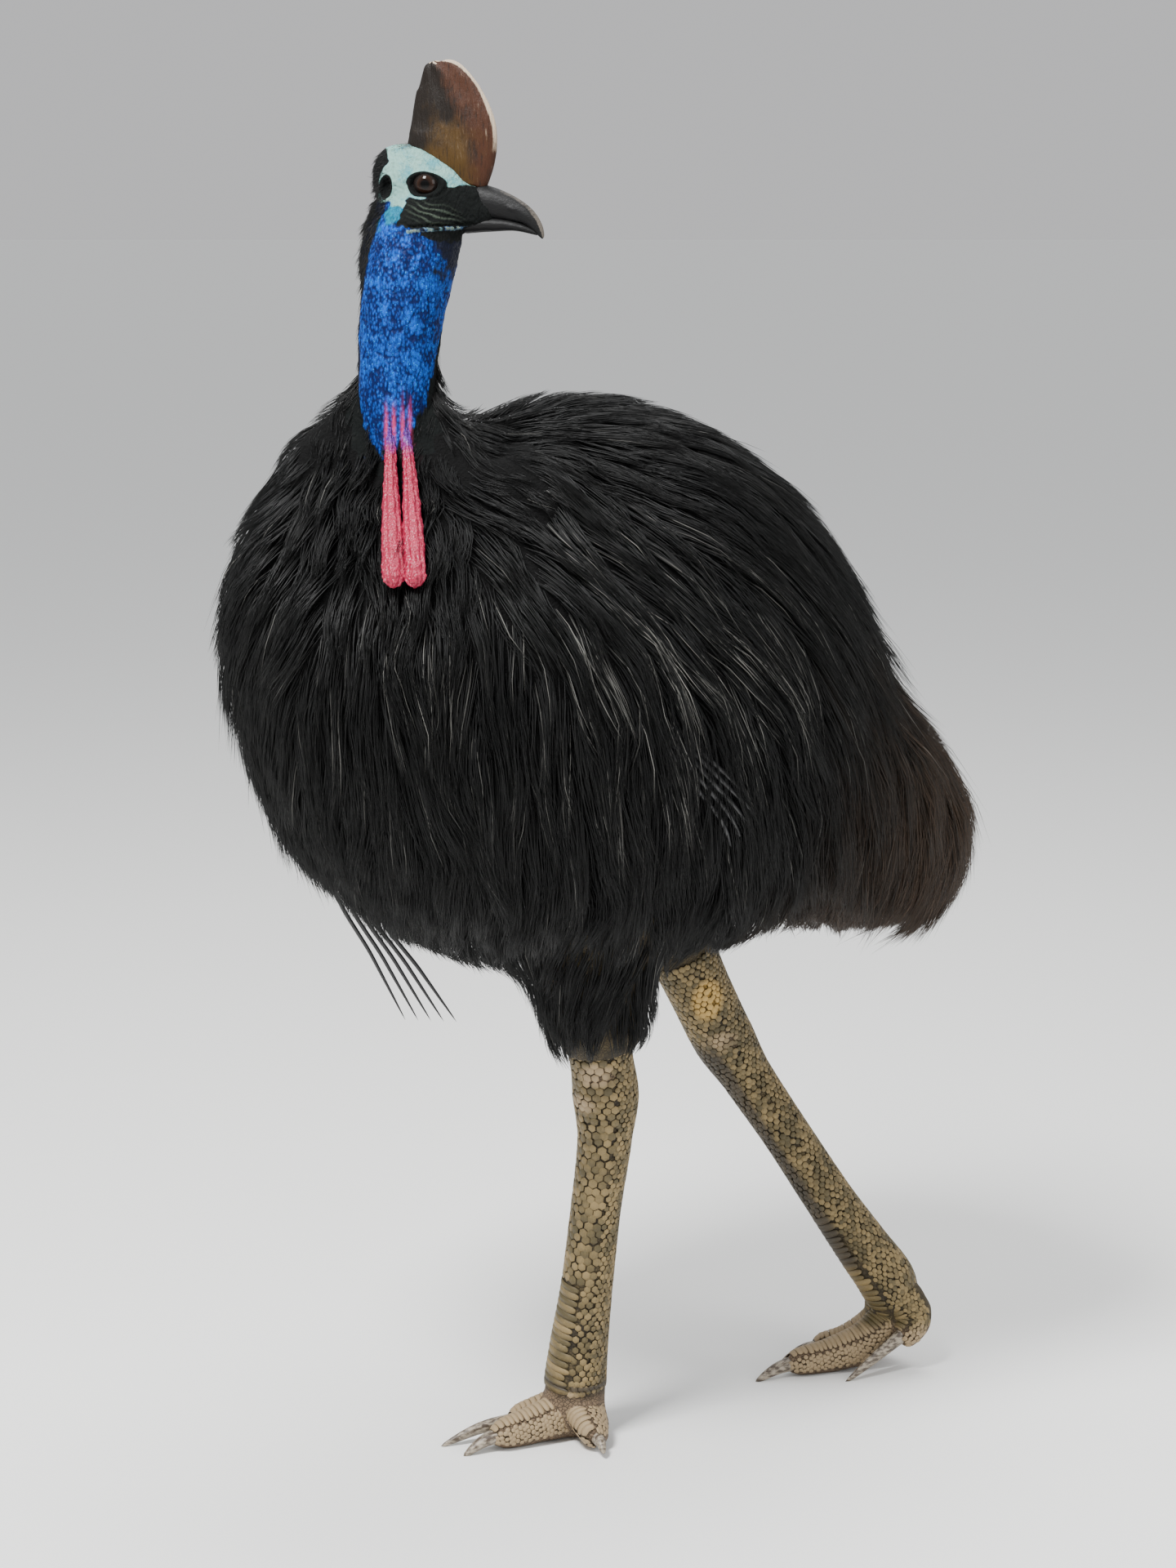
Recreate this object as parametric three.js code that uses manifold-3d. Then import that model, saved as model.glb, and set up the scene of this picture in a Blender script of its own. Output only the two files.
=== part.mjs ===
// Southern cassowary, adult and life size, stopped in mid stride with its head turned back to the left.
// Millimetres, +Z up, +X towards the bird's left side, -Y the way its body faces.
import * as THREE from 'three';
import { mergeVertices } from 'three/addons/utils/BufferGeometryUtils.js';
import Module from 'manifold-3d';

const wasm = await Module();
wasm.setup();

// Clear space between neighbouring pieces
const GAP = 0.3;
const WELD = 1e-4;

// The body's coat, measured from the heart, the middle of the body
const HEART = [0, 270, 850];
const BODY_HALF_WIDTH = 269;
const BODY_FULLNESS = 2.3;
// Reach of the side outline every 30 degrees, from the tail over the back, breast and belly
const BODY_REACH = [300, 275, 286, 318, 359, 494, 443, 393, 331, 292, 312, 480];
// The shoulders fall away from the neck: the side outline's angle there, how much and how narrowly
const SHOULDER = { angle: THREE.MathUtils.degToRad(124), slope: 0.79, power: 5.9 };
// The coat parts below the throat: the middle of the dip, and its depth as a share of the reach
const PARTING = { at: [70, -60, 1080], depth: 0.13, width: 0.28 };
// A plane that parts the tail coat from the torso: a point on it and its normal, towards the tail
const TAIL_PLANE = { at: [0, 455, 850], facing: [0, 0.94, -0.34] };
// The core under the locks, below the outline that their tips reach
const COAT_DEPTH = 27;

// Locks of the coat, in rings round the line from the heart to the foot of the neck
const LOCK_SEED = 2;
const LOCK_RING_ANGLES = [14, 32, 50, 69, 88, 107, 126, 145];
const LOCK_SPACING = 148;
const LOCK_LENGTH = 205;
const LOCK_HALF_WIDTH = 60;
const LOCK_HALF_THICK = 5;
const LOCK_ROOT = 9;
const LOCK_VARIETY = 0.14;
const LOCK_UNEVENNESS = 0.2;
// A ring is full when less than this share of a step is left before its first lock
const LOCK_LAST_STEP = 0.6;
// Depth under the outline from root to tip, as shares of the coat's depth: the tips stand a little proud
const LOCK_DEPTHS = [1.8, 0.8, 0.3, -0.2];
// How much a lock hangs straight down rather than lying away from the neck: near the neck, and far from it
const LOCK_HANG = [0.12, 0.85];
const LOCK_HANG_DISTANCE = 800;

// Neck: centre, half across (left to right) and half deep at each height
const NECK_STATIONS = [
  [0, 30, 1030, 50, 50],
  [0, 4, 1090, 44, 44],
  [0, 0, 1150, 41, 41],
  [0, 1, 1205, 41, 41],
  [0, 6, 1255, 43, 44],
  [1, 16, 1305, 46, 46],
  [2, 28, 1345, 44, 44],
  [3, 38, 1385, 26, 26],
];
const NECK_SPLIT_HEIGHT = 1215;

const NECK_FOOT = [0, 0, 1107];

// Collar: the coat drawn up round the foot of the neck, cut away in a V below the wattles
const COLLAR_STATIONS = [
  [-4, 38, 1020, 196, 192],
  [-8, -2, 1095, 139, 134],
  [-5, -2, 1145, 86, 84],
  [-1, 0, 1185, 54, 53],
  [0, 2, 1225, 45, 45],
  [0, 6, 1258, 44.5, 45.5],
];
const COLLAR_BEARING = THREE.MathUtils.degToRad(-40);
const COLLAR_CENTRE_HEIGHT = 1212;
const COLLAR_SLOPE = 2.5;

// Head: its own frame has x along the bill, y to its left and z up, from a point between the eyes
const HEAD_AT = [4.6, 42.4, 1394];
const HEAD_TURN = THREE.MathUtils.degToRad(40);
const HEAD_PITCH = THREE.MathUtils.degToRad(14);
const JAW_CUT_Z = -50;
const SKULL_STATIONS = [
  [-66, 0, -10, 0, 0],
  [-50, 0, -6, 24, 33],
  [-24, 0, -4, 29, 38],
  [4, 0, -8, 29, 36],
  [32, 0, -14, 24, 30],
  [56, 0, -13, 16, 23],
  [70, 0, -12, 11, 17],
  [76, 0, -12, 0, 0],
];
const THROAT_STATIONS = [
  [-20, 0, -20, 30, 40],
  [-12, 0, -48, 33, 52],
  [-12, 0, -70, 36, 52],
  [-19, 0, -96, 34, 41],
  [-15, 0, -126, 24, 26],
];
const CASQUE_STATIONS = [
  [13, 0, 8, 14, 45],
  [12, 0, 34, 13.5, 49.5],
  [8, 0, 58, 11.5, 48.5],
  [-5, 0, 86, 8.5, 39.5],
  [-17, 0, 105, 6.5, 29],
  [-28, 0, 117, 4.5, 12],
  [-30, 0, 120.5, 0, 0],
];
const BILL_UPPER_STATIONS = [
  [52, 0, -5, 13, 17],
  [66, 0, -4, 12, 16],
  [88, 0, -4, 9.5, 13],
  [108, 0, -7, 7, 9],
  [121, 0, -14, 4.5, 6],
  [129, 0, -22, 2, 3],
  [131, 0, -25, 0, 0],
];
const BILL_LOWER_STATIONS = [
  [46, 0, -33, 12, 8],
  [70, 0, -27, 10, 7],
  [98, 0, -21.5, 6.5, 4],
  [118, 0, -21.5, 3, 2],
  [124, 0, -22.5, 0, 0],
];
const EYE_AT = [0.5, 17.5, 0];
const EYE_RADIUS = 15;
const LID = { radius: 12.4, thickness: 2.5, out: 27.2 };
const EAR = { at: [-41, 30, -14], halves: [7, 5, 9] };
const NOSTRIL = { at: [94, 8.5, -3], halves: [8, 3, 2.2] };
// The line of the mouth from its corner to the bill
const MOUTH_STATIONS = [
  [10, 31, -42, 2.4, 2.4],
  [32, 20.5, -34, 2.4, 2.4],
  [56, 15, -27, 2.4, 2.4],
];

// Wattles: two lobes that hang from the front of the neck, turned to the left with the head
const WATTLE_BEARING = THREE.MathUtils.degToRad(-25);
const WATTLE_TOP_HEIGHT = 1146;
const WATTLE_LENGTH = 150;
const WATTLE_HALF_WIDTH = 10.4;
const WATTLE_HALF_THICK = 8;
const WATTLE_FOLD = 0.9;
const WATTLE_FOLDS = 4;
// Share of the length from the top, then the width and thickness there as shares of the fullest
const WATTLE_PROFILE = [
  [0, 0, 0],
  [0.08, 0.35, 0.5],
  [0.35, 0.62, 0.7],
  [0.7, 0.95, 0.95],
  [0.93, 1, 1],
  [1, 0, 0],
];

// Legs: centre, half across and half deep from inside the thigh down to the ball of the foot
const LEG_STATIONS = {
  left: [
    [98, 158, 640, 40, 44],
    [82, 184, 540, 33, 38],
    [70, 207, 450, 32, 35],
    [65, 215, 410, 36, 36],
    [60, 217, 360, 29, 30],
    [46, 213, 270, 26, 28],
    [32, 210, 180, 27, 29],
    [18, 207, 100, 32, 33],
    [11, 207, 55, 35, 35],
    [10, 209, 18, 28, 29],
    [10, 210, -6, 0, 0],
  ],
  right: [
    [-78, 322, 660, 42, 46],
    [-72, 372, 570, 37, 42],
    [-73, 424, 470, 34, 37],
    [-75, 456, 412, 35, 36],
    [-68, 484, 365, 28, 30],
    [-50, 530, 290, 26, 28],
    [-28, 578, 208, 27, 29],
    [-10, 615, 148, 30, 32],
    [2, 640, 108, 33, 34],
    [4, 650, 80, 27, 29],
    [4, 652, 70, 0, 0],
  ],
};
const HOCK_PLANES = {
  left: { at: [65, 215, 410], facing: [0.1, 0, 1] },
  right: { at: [-75, 456, 412], facing: [-0.15, -0.45, 1] },
};
const THIGH_STATIONS = {
  left: [
    [108, 215, 700, 90, 100],
    [99, 192, 640, 80, 90],
    [85, 188, 560, 57, 66],
    [75, 201, 495, 43, 50],
    [71, 206, 468, 37, 42],
  ],
  right: [
    [-106, 300, 720, 90, 100],
    [-94, 322, 670, 78, 88],
    [-78, 354, 605, 56, 64],
    [-73, 380, 556, 43, 49],
  ],
};
// Thigh locks: rings down the thigh, as shares of its length, and how far the tips stand off its core
const THIGH_RINGS = [0.42, 0.7];
const THIGH_LOCKS = 6;
const THIGH_LOCK_REACH = 0.42;
const THIGH_LOCK_LIFT = 17;
const THIGH_LOCK_HALF_WIDTH = 31;
// Scutes: rows on the tarsus and the toes, and how far each is raised
const TARSUS_SCUTES = 15;
const TOE_SCUTES = 3;
const SCUTE_RAISE = 1.3;

// Toes: centre, half across and half high; claws: root, middle and point
const TOES = {
  left: {
    middle: {
      flesh: [[11, 226, 36, 26, 33], [10, 190, 26, 22, 27], [9, 150, 20, 19, 21.5], [8, 116, 16, 16, 17.5],
        [8, 97, 13, 0, 0]],
      claw: [[8, 116, 17, 11, 9], [7.5, 92, 13, 8, 7], [7, 66, 0, 0, 0]],
    },
    inner: {
      flesh: [[0, 224, 34, 22, 30], [-8, 186, 24, 18, 25.5], [-15, 150, 18, 15, 19.5], [-18, 132, 15, 0, 0]],
      claw: [[-16, 148, 20, 8, 9], [-23, 104, 16, 6, 7], [-30, 57, 1, 0, 0]],
    },
    outer: {
      flesh: [[14, 214, 36, 22, 32], [40, 208, 26, 19, 27.5], [64, 202, 18, 15, 19.5], [78, 199, 15, 0, 0]],
      claw: [[64, 202, 18, 8, 8], [82, 199, 15, 6, 6], [95, 196, 7, 0, 0]],
    },
  },
  right: {
    middle: {
      flesh: [[3, 646, 98, 27, 28], [-2, 652, 62, 25, 27], [-8, 622, 32, 23, 26], [-18, 574, 19, 19, 20.5],
        [-25, 532, 15, 15, 16.5], [-27, 513, 13, 0, 0]],
      claw: [[-25, 532, 16, 10, 9], [-28, 506, 12, 8, 7], [-30, 476, 0, 0, 0]],
    },
    inner: {
      flesh: [[16, 650, 96, 20, 24], [26, 664, 66, 20, 24], [29, 650, 44, 15, 18], [28, 640, 38, 0, 0]],
      claw: [[29, 652, 50, 8, 9], [27, 618, 30, 6, 7], [23, 568, -1, 0, 0]],
    },
    outer: {
      flesh: [[-10, 648, 92, 22, 25], [-26, 652, 50, 20, 24], [-46, 618, 20, 17, 21.5],
        [-58, 590, 15, 14, 16.5], [-63, 575, 13, 0, 0]],
      claw: [[-58, 590, 16, 9, 8], [-67, 568, 13, 6, 6], [-74, 541, 0, 0, 0]],
    },
  },
};

// Wings: a small hand on each flank, where the quills bend, and the first and last quill's tips.
// The left one's quills lie in the coat; the right one's hang free from the bend on.
const WINGS = {
  left: {
    hand: [250, 190, 830],
    bend: [[278, 250, 720], [278, 300, 740]],
    tips: [[225, 330, 590], [215, 420, 600]],
    depth: 12,
    isUnderCoat: true,
  },
  right: {
    hand: [-250, 20, 780],
    bend: [[-212, 18, 622], [-192, 63, 588]],
    tips: [[-200, 104, 449], [-180, 160, 444]],
    depth: -3,
    isUnderCoat: false,
  },
};
const WING_DEPTH = 50;
const QUILL_COUNT = 5;
const QUILL_RADIUS = 2.6;
const HAND_SPREAD = 30;

const COLOURS = {
  coat: { color: 0x15130f, roughness: 0.55, metalness: 0 },
  tail: { color: 0x1c1712, roughness: 0.6, metalness: 0 },
  neck: { color: 0x1660c4, roughness: 0.5, metalness: 0 },
  head: { color: 0x7fb3c4, roughness: 0.55, metalness: 0 },
  casque: { color: 0x4a3524, roughness: 0.5, metalness: 0 },
  bill: { color: 0x17161a, roughness: 0.4, metalness: 0 },
  eye: { color: 0x1d0f08, roughness: 0.1, metalness: 0 },
  wattle: { color: 0xc9405e, roughness: 0.45, metalness: 0 },
  quill: { color: 0x0d0d0f, roughness: 0.35, metalness: 0 },
  leg: { color: 0x93805a, roughness: 0.65, metalness: 0 },
  toe: { color: 0xa9977c, roughness: 0.6, metalness: 0 },
  claw: { color: 0xcfc3b2, roughness: 0.4, metalness: 0 },
};

const vector = (point) => new THREE.Vector3(...point);

// A closed mesh as a solid that can be joined and cut
function solidOf(geometry) {
  const bare = geometry.clone();
  bare.deleteAttribute('normal');
  bare.deleteAttribute('uv');
  const merged = mergeVertices(bare, WELD);
  return new wasm.Manifold(new wasm.Mesh({
    numProp: 3,
    vertProperties: merged.attributes.position.array,
    triVerts: new Uint32Array(merged.index.array),
  }));
}

// A solid as a mesh: only its largest closed surface is kept
function geometryOf(solid) {
  const largest = solid.decompose().sort((a, b) => b.volume() - a.volume())[0];
  const { vertProperties, triVerts } = largest.getMesh();
  const geometry = new THREE.BufferGeometry();
  geometry.setAttribute('position', new THREE.BufferAttribute(new Float32Array(vertProperties), 3));
  geometry.setIndex(new THREE.BufferAttribute(new Uint32Array(triVerts), 1));
  geometry.computeVertexNormals();
  return geometry;
}

// The same mesh pushed out along its normals, to clear a neighbour
function swell(geometry, distance) {
  const bare = geometry.clone();
  bare.deleteAttribute('normal');
  bare.deleteAttribute('uv');
  const merged = mergeVertices(bare, WELD);
  merged.computeVertexNormals();
  const { position, normal } = merged.attributes;
  for (let i = 0; i < position.count; i += 1) {
    position.setXYZ(
      i,
      position.getX(i) + distance * normal.getX(i),
      position.getY(i) + distance * normal.getY(i),
      position.getZ(i) + distance * normal.getZ(i),
    );
  }
  return merged;
}

// A round body whose oval sections follow a smooth spine; a station is x, y, z, half across, half deep
class Loft {
  constructor(stations, across = [1, 0, 0]) {
    this.across = vector(across);
    this.spine = new THREE.CatmullRomCurve3(stations.map(([x, y, z]) => vector([x, y, z])));
    this.squares = new THREE.CatmullRomCurve3(stations.map(([, , , a, b]) => vector([a * a, b * b, 0])));
    this.closed = stations.map(([, , , a]) => a === 0);
  }

  // The point at a share of the spine and an angle round it, lifted off the surface
  at(share, angle, lift = 0) {
    const tangent = this.spine.getTangent(share);
    const across = this.across.clone().addScaledVector(tangent, -this.across.dot(tangent)).normalize();
    const deep = tangent.clone().cross(across);
    const square = this.squares.getPoint(share);
    const halfAcross = Math.sqrt(Math.max(square.x, 0)) + lift;
    const halfDeep = Math.sqrt(Math.max(square.y, 0)) + lift;
    return this.spine.getPoint(share)
      .addScaledVector(across, halfAcross * Math.cos(angle))
      .addScaledVector(deep, halfDeep * Math.sin(angle));
  }

  // Rows of points from end to end, each end flat or drawn to a point where its station has no width
  geometry(around, rows, relief = () => 0) {
    const last = this.closed.length - 1;
    const bothClosed = this.closed[0] && this.closed[last];
    const geometry = bothClosed
      ? new THREE.SphereGeometry(1, around, rows)
      : new THREE.CylinderGeometry(this.closed[last] ? 0 : 1, this.closed[0] ? 0 : 1, 1, around, rows);
    const { position } = geometry.attributes;
    for (let i = 0; i < position.count; i += 1) {
      const height = position.getY(i);
      const share = bothClosed
        ? 1 - Math.acos(THREE.MathUtils.clamp(height, -1, 1)) / Math.PI
        : THREE.MathUtils.clamp(height + 0.5, 0, 1);
      const angle = Math.atan2(-position.getZ(i), position.getX(i));
      const isCentre = Math.hypot(position.getX(i), position.getZ(i)) < WELD;
      const point = isCentre
        ? this.spine.getPoint(share)
        : this.at(share, angle, relief(share, angle));
      position.setXYZ(i, point.x, point.y, point.z);
    }
    return geometry;
  }
}

// Reach of the coat from the heart in one direction
const reachCurve = new THREE.CatmullRomCurve3(BODY_REACH.map((reach) => vector([reach, 0, 0])), true);
const partingWay = vector(PARTING.at).sub(vector(HEART));
function bodyReach(direction) {
  const turn = Math.atan2(direction.z, direction.y);
  const outline = reachCurve.getPoint((turn / (2 * Math.PI) + 1) % 1).x;
  const along = Math.hypot(direction.y, direction.z) / outline;
  const across = Math.abs(direction.x) / BODY_HALF_WIDTH;
  const nearness = Math.max(0, Math.cos(turn - SHOULDER.angle)) ** SHOULDER.power;
  const fullness = BODY_FULLNESS - SHOULDER.slope * nearness;
  const reach = (along ** fullness + across ** fullness) ** (-1 / fullness);
  const aside = direction.angleTo(partingWay) / PARTING.width;
  return reach * (1 - PARTING.depth * Math.exp(-aside * aside));
}

// The point of the coat, or of a layer below it, in line with the heart and the given point
function onBody(point, depth = 0) {
  const ray = point.clone().sub(vector(HEART)).normalize();
  return vector(HEART).addScaledVector(ray, bodyReach(ray) - depth);
}

function bodyGeometry(depth, around, rows) {
  const geometry = new THREE.SphereGeometry(1, around, rows);
  const { position } = geometry.attributes;
  for (let i = 0; i < position.count; i += 1) {
    const direction = new THREE.Vector3(position.getZ(i), position.getX(i), position.getY(i));
    const point = onBody(vector(HEART).add(direction), depth);
    position.setXYZ(i, point.x, point.y, point.z);
  }
  return geometry;
}

const upOf = ({ facing }) => vector(facing).normalize();
// The side of a solid that the plane faces, or the side behind it, half a gap clear of the plane
function ahead(solid, plane, clear = GAP / 2) {
  const normal = upOf(plane);
  return solid.trimByPlane(normal.toArray(), normal.dot(vector(plane.at)) + clear);
}
function behind(solid, plane, clear = GAP / 2) {
  const normal = upOf(plane).negate();
  return solid.trimByPlane(normal.toArray(), normal.dot(vector(plane.at)) + clear);
}

// Seeded random numbers between 0 and 1
let seed = LOCK_SEED;
function random() {
  seed = (seed * 1664525 + 1013904223) % 4294967296;
  return seed / 4294967296;
}
const varied = (size) => size * (1 + LOCK_VARIETY * (2 * random() - 1));

// A flat tapered lock along points from root to tip; faces gives the outward side at each point
function lockGeometry(points, faces, halfWidth, halfThick) {
  const rows = points.length - 1;
  const path = new THREE.CatmullRomCurve3(points);
  const geometry = new THREE.ConeGeometry(1, 1, 4, rows);
  const { position } = geometry.attributes;
  for (let i = 0; i < position.count; i += 1) {
    const share = THREE.MathUtils.clamp(position.getY(i) + 0.5, 0, 1);
    const row = Math.round(share * rows);
    const isCentre = Math.hypot(position.getX(i), position.getZ(i)) < WELD;
    const width = isCentre ? 0 : halfWidth * (0.72 + 0.9 * share - 1.25 * share * share);
    const thick = isCentre ? 0 : halfThick * (1 - 0.45 * share);
    const angle = Math.atan2(-position.getZ(i), position.getX(i));
    const face = faces[row];
    const across = path.getTangent(share).cross(face).normalize();
    const point = points[row].clone()
      .addScaledVector(across, width * Math.cos(angle))
      .addScaledVector(face, -thick * Math.sin(angle));
    position.setXYZ(i, point.x, point.y, point.z);
  }
  return geometry;
}

// Which way the coat lies at a point: away from the foot of the neck, and more downwards further off
function coatLie(point, face) {
  const away = point.clone().sub(vector(NECK_FOOT));
  const far = Math.min(1, away.length() / LOCK_HANG_DISTANCE);
  const hang = THREE.MathUtils.lerp(LOCK_HANG[0], LOCK_HANG[1], far);
  const lie = away.normalize().multiplyScalar(1 - hang).add(new THREE.Vector3(0, 0, -hang));
  return lie.addScaledVector(face, -lie.dot(face)).normalize();
}

// The coat's outward side at a point, from its slope to both sides
function coatFace(point) {
  const ray = point.clone().sub(vector(HEART)).normalize();
  const first = new THREE.Vector3(ray.y, ray.z, ray.x).cross(ray).normalize();
  const second = ray.clone().cross(first);
  const step = 4;
  const slopes = [first, second].map((side) => onBody(point.clone().addScaledVector(side, step))
    .sub(onBody(point.clone().addScaledVector(side, -step))));
  const face = slopes[0].cross(slopes[1]).normalize();
  return face.dot(ray) > 0 ? face : face.negate();
}

// One lock of the body's coat: it leaves the core at its root and its tip reaches the outline
function coatLock(root) {
  const [length, halfWidth, halfThick] = [LOCK_LENGTH, LOCK_HALF_WIDTH, LOCK_HALF_THICK].map(varied);
  const step = length / (LOCK_DEPTHS.length - 1);
  const points = [];
  const faces = [];
  let here = onBody(root);
  for (const depth of LOCK_DEPTHS) {
    const face = coatFace(here);
    points.push(onBody(here, depth * COAT_DEPTH));
    faces.push(face);
    here = onBody(here.clone().addScaledVector(coatLie(here, face), step));
  }
  return { points, faces, halfWidth, halfThick };
}

// Pieces of one node, with the same pieces swollen by the gap to cut its neighbours clear
function joined(geometries) {
  const solid = geometries.map(solidOf).reduce((sum, piece) => sum.add(piece));
  const cutter = geometries.map((piece) => solidOf(swell(piece, GAP))).reduce((sum, piece) => sum.add(piece));
  return { solid, cutter };
}

const cassowary = new THREE.Group();
const headGroup = new THREE.Group();
headGroup.position.set(...HEAD_AT);
headGroup.rotation.set(0, HEAD_PITCH, HEAD_TURN, 'ZYX');
headGroup.updateMatrixWorld();
cassowary.add(headGroup);
const inHead = (geometry) => geometry.applyMatrix4(headGroup.matrixWorld);

// Adds a named mesh to a group, its shape given in the bird's frame
function addMesh(group, name, solid, finish) {
  const geometry = geometryOf(solid);
  geometry.applyMatrix4(group.matrixWorld.clone().invert());
  const mesh = new THREE.Mesh(geometry, new THREE.MeshStandardMaterial(finish));
  mesh.name = name;
  group.add(mesh);
}

// Head parts
const acrossHead = [0, 1, 0];
const headLoft = (stations, around, rows) => inHead(new Loft(stations, acrossHead).geometry(around, rows));
const skullForm = headLoft(SKULL_STATIONS, 16, 11);
const skull = solidOf(skullForm);
const casque = joined([headLoft(CASQUE_STATIONS, 12, 10)]);
casque.solid = casque.solid.subtract(solidOf(swell(skullForm, GAP)));
const billUpper = joined([headLoft(BILL_UPPER_STATIONS, 12, 9)]);
const billLower = joined([headLoft(BILL_LOWER_STATIONS, 10, 7)]);
billUpper.solid = billUpper.solid.subtract(casque.cutter);
billLower.solid = billLower.solid.subtract(billUpper.cutter);
const sides = [1, -1];
const mirrored = ([x, y, z], side) => [x, side * y, z];
// A rounded pit on one side of the head
function pit({ at, halves }, side) {
  const form = new THREE.SphereGeometry(1, 7, 5).scale(...halves).translate(...mirrored(at, side));
  return solidOf(inHead(form));
}
const eyes = sides.map((side) => joined([
  inHead(new THREE.SphereGeometry(EYE_RADIUS, 12, 7).translate(...mirrored(EYE_AT, side))),
]));
const lids = sides.map((side) => solidOf(inHead(
  new THREE.TorusGeometry(LID.radius, LID.thickness, 4, 12)
    .rotateX(Math.PI / 2)
    .translate(EYE_AT[0], side * LID.out, EYE_AT[2]),
)));
const mouths = sides.map((side) => solidOf(headLoft(
  MOUTH_STATIONS.map(([x, y, z, a, b]) => [...mirrored([x, y, z], side), a, b]),
  6,
  4,
)));
billUpper.solid = sides.reduce((rest, side) => rest.subtract(pit(NOSTRIL, side)), billUpper.solid);
const throat = solidOf(headLoft(THROAT_STATIONS, 14, 6));
const neckLoft = new Loft(NECK_STATIONS);
const neckFlesh = solidOf(neckLoft.geometry(16, 10)).add(skull).add(throat);
const jawPlane = {
  at: new THREE.Vector3(0, 0, JAW_CUT_Z).applyMatrix4(headGroup.matrixWorld).toArray(),
  facing: new THREE.Vector3(0, 0, 1).transformDirection(headGroup.matrixWorld).toArray(),
};
const neckPlane = { at: [0, 0, NECK_SPLIT_HEIGHT], facing: [0, 0, 1] };
const headHollows = [
  ...[billUpper, billLower, ...eyes].map(({ cutter }) => cutter),
  ...sides.map((side) => pit(EAR, side)),
  ...mouths,
];
const headFlesh = lids.reduce((sum, lid) => sum.add(lid), ahead(neckFlesh, jawPlane));
const headSolid = headHollows.reduce((rest, hollow) => rest.subtract(hollow), headFlesh);
addMesh(headGroup, 'casque', casque.solid, COLOURS.casque);
addMesh(headGroup, 'bill_upper', billUpper.solid, COLOURS.bill);
addMesh(headGroup, 'bill_lower', billLower.solid, COLOURS.bill);
addMesh(headGroup, 'eye_left', eyes[0].solid, COLOURS.eye);
addMesh(headGroup, 'eye_right', eyes[1].solid, COLOURS.eye);
addMesh(headGroup, 'head', headSolid, COLOURS.head);

// Neck
const neckUpper = behind(ahead(neckFlesh, neckPlane), jawPlane).subtract(billLower.cutter);
const neckLower = behind(solidOf(neckLoft.geometry(16, 10)), neckPlane);
const neckCutter = solidOf(swell(neckLoft.geometry(16, 10), GAP));
addMesh(cassowary, 'neck_upper', neckUpper, COLOURS.neck);
addMesh(cassowary, 'neck_lower', neckLower, COLOURS.neck);

// How far from the neck's axis the coat's surface is, at a height and a bearing
function breastReach(height, bearing) {
  let [inside, outside] = [0, 2 * BODY_HALF_WIDTH];
  for (let i = 0; i < 20; i += 1) {
    const middle = (inside + outside) / 2;
    const point = new THREE.Vector3(middle * Math.cos(bearing), middle * Math.sin(bearing), height);
    const ray = point.clone().sub(vector(HEART));
    const isInside = ray.length() < bodyReach(ray.clone().normalize());
    [inside, outside] = isInside ? [middle, outside] : [inside, middle];
  }
  return inside;
}

// Wattles: from the skin of the neck over the edge of the collar and down the breast
const wattleAside = new THREE.Vector3(-Math.sin(WATTLE_BEARING), Math.cos(WATTLE_BEARING), 0);
function wattleStations(side) {
  const [bottom, top] = [WATTLE_TOP_HEIGHT - WATTLE_LENGTH, WATTLE_TOP_HEIGHT];
  return WATTLE_PROFILE.map(([share, width, thick]) => {
    const height = top + (bottom - top) * share;
    const lift = WATTLE_HALF_THICK + 1;
    const reach = Math.max(breastReach(height, WATTLE_BEARING), NECK_STATIONS[2][3] - lift) + lift;
    const aside = side * (WATTLE_HALF_WIDTH + GAP) * (0.75 + 0.25 * Math.min(1, 2 * share));
    return [
      reach * Math.cos(WATTLE_BEARING) + aside * wattleAside.x,
      reach * Math.sin(WATTLE_BEARING) + aside * wattleAside.y,
      height,
      width * WATTLE_HALF_WIDTH,
      thick * WATTLE_HALF_THICK,
    ];
  });
}
const wattles = [1, -1].map((side) => joined([
  new Loft(wattleStations(side), wattleAside.toArray())
    .geometry(12, 9, (share, angle) => WATTLE_FOLD * Math.cos(WATTLE_FOLDS * angle)),
]));

// The body's core, under the locks, and the collar round the neck
const core = bodyGeometry(COAT_DEPTH, 18, 14);
const coreCutter = solidOf(swell(core, GAP));
const collarPlane = {
  at: [0, 0, COLLAR_CENTRE_HEIGHT],
  facing: [COLLAR_SLOPE * Math.cos(COLLAR_BEARING), COLLAR_SLOPE * Math.sin(COLLAR_BEARING), 1],
};
const collar = behind(solidOf(new Loft(COLLAR_STATIONS).geometry(18, 8)), collarPlane);

// A lock as a solid, or made larger on all sides by a gap, to cut its neighbours clear
function lockSolid({ points, faces, halfWidth, halfThick }, gap = 0) {
  const geometry = lockGeometry(points, faces, halfWidth * (1 + gap / halfThick), halfThick + gap);
  return solidOf(gap ? swell(geometry, gap) : geometry);
}

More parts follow.
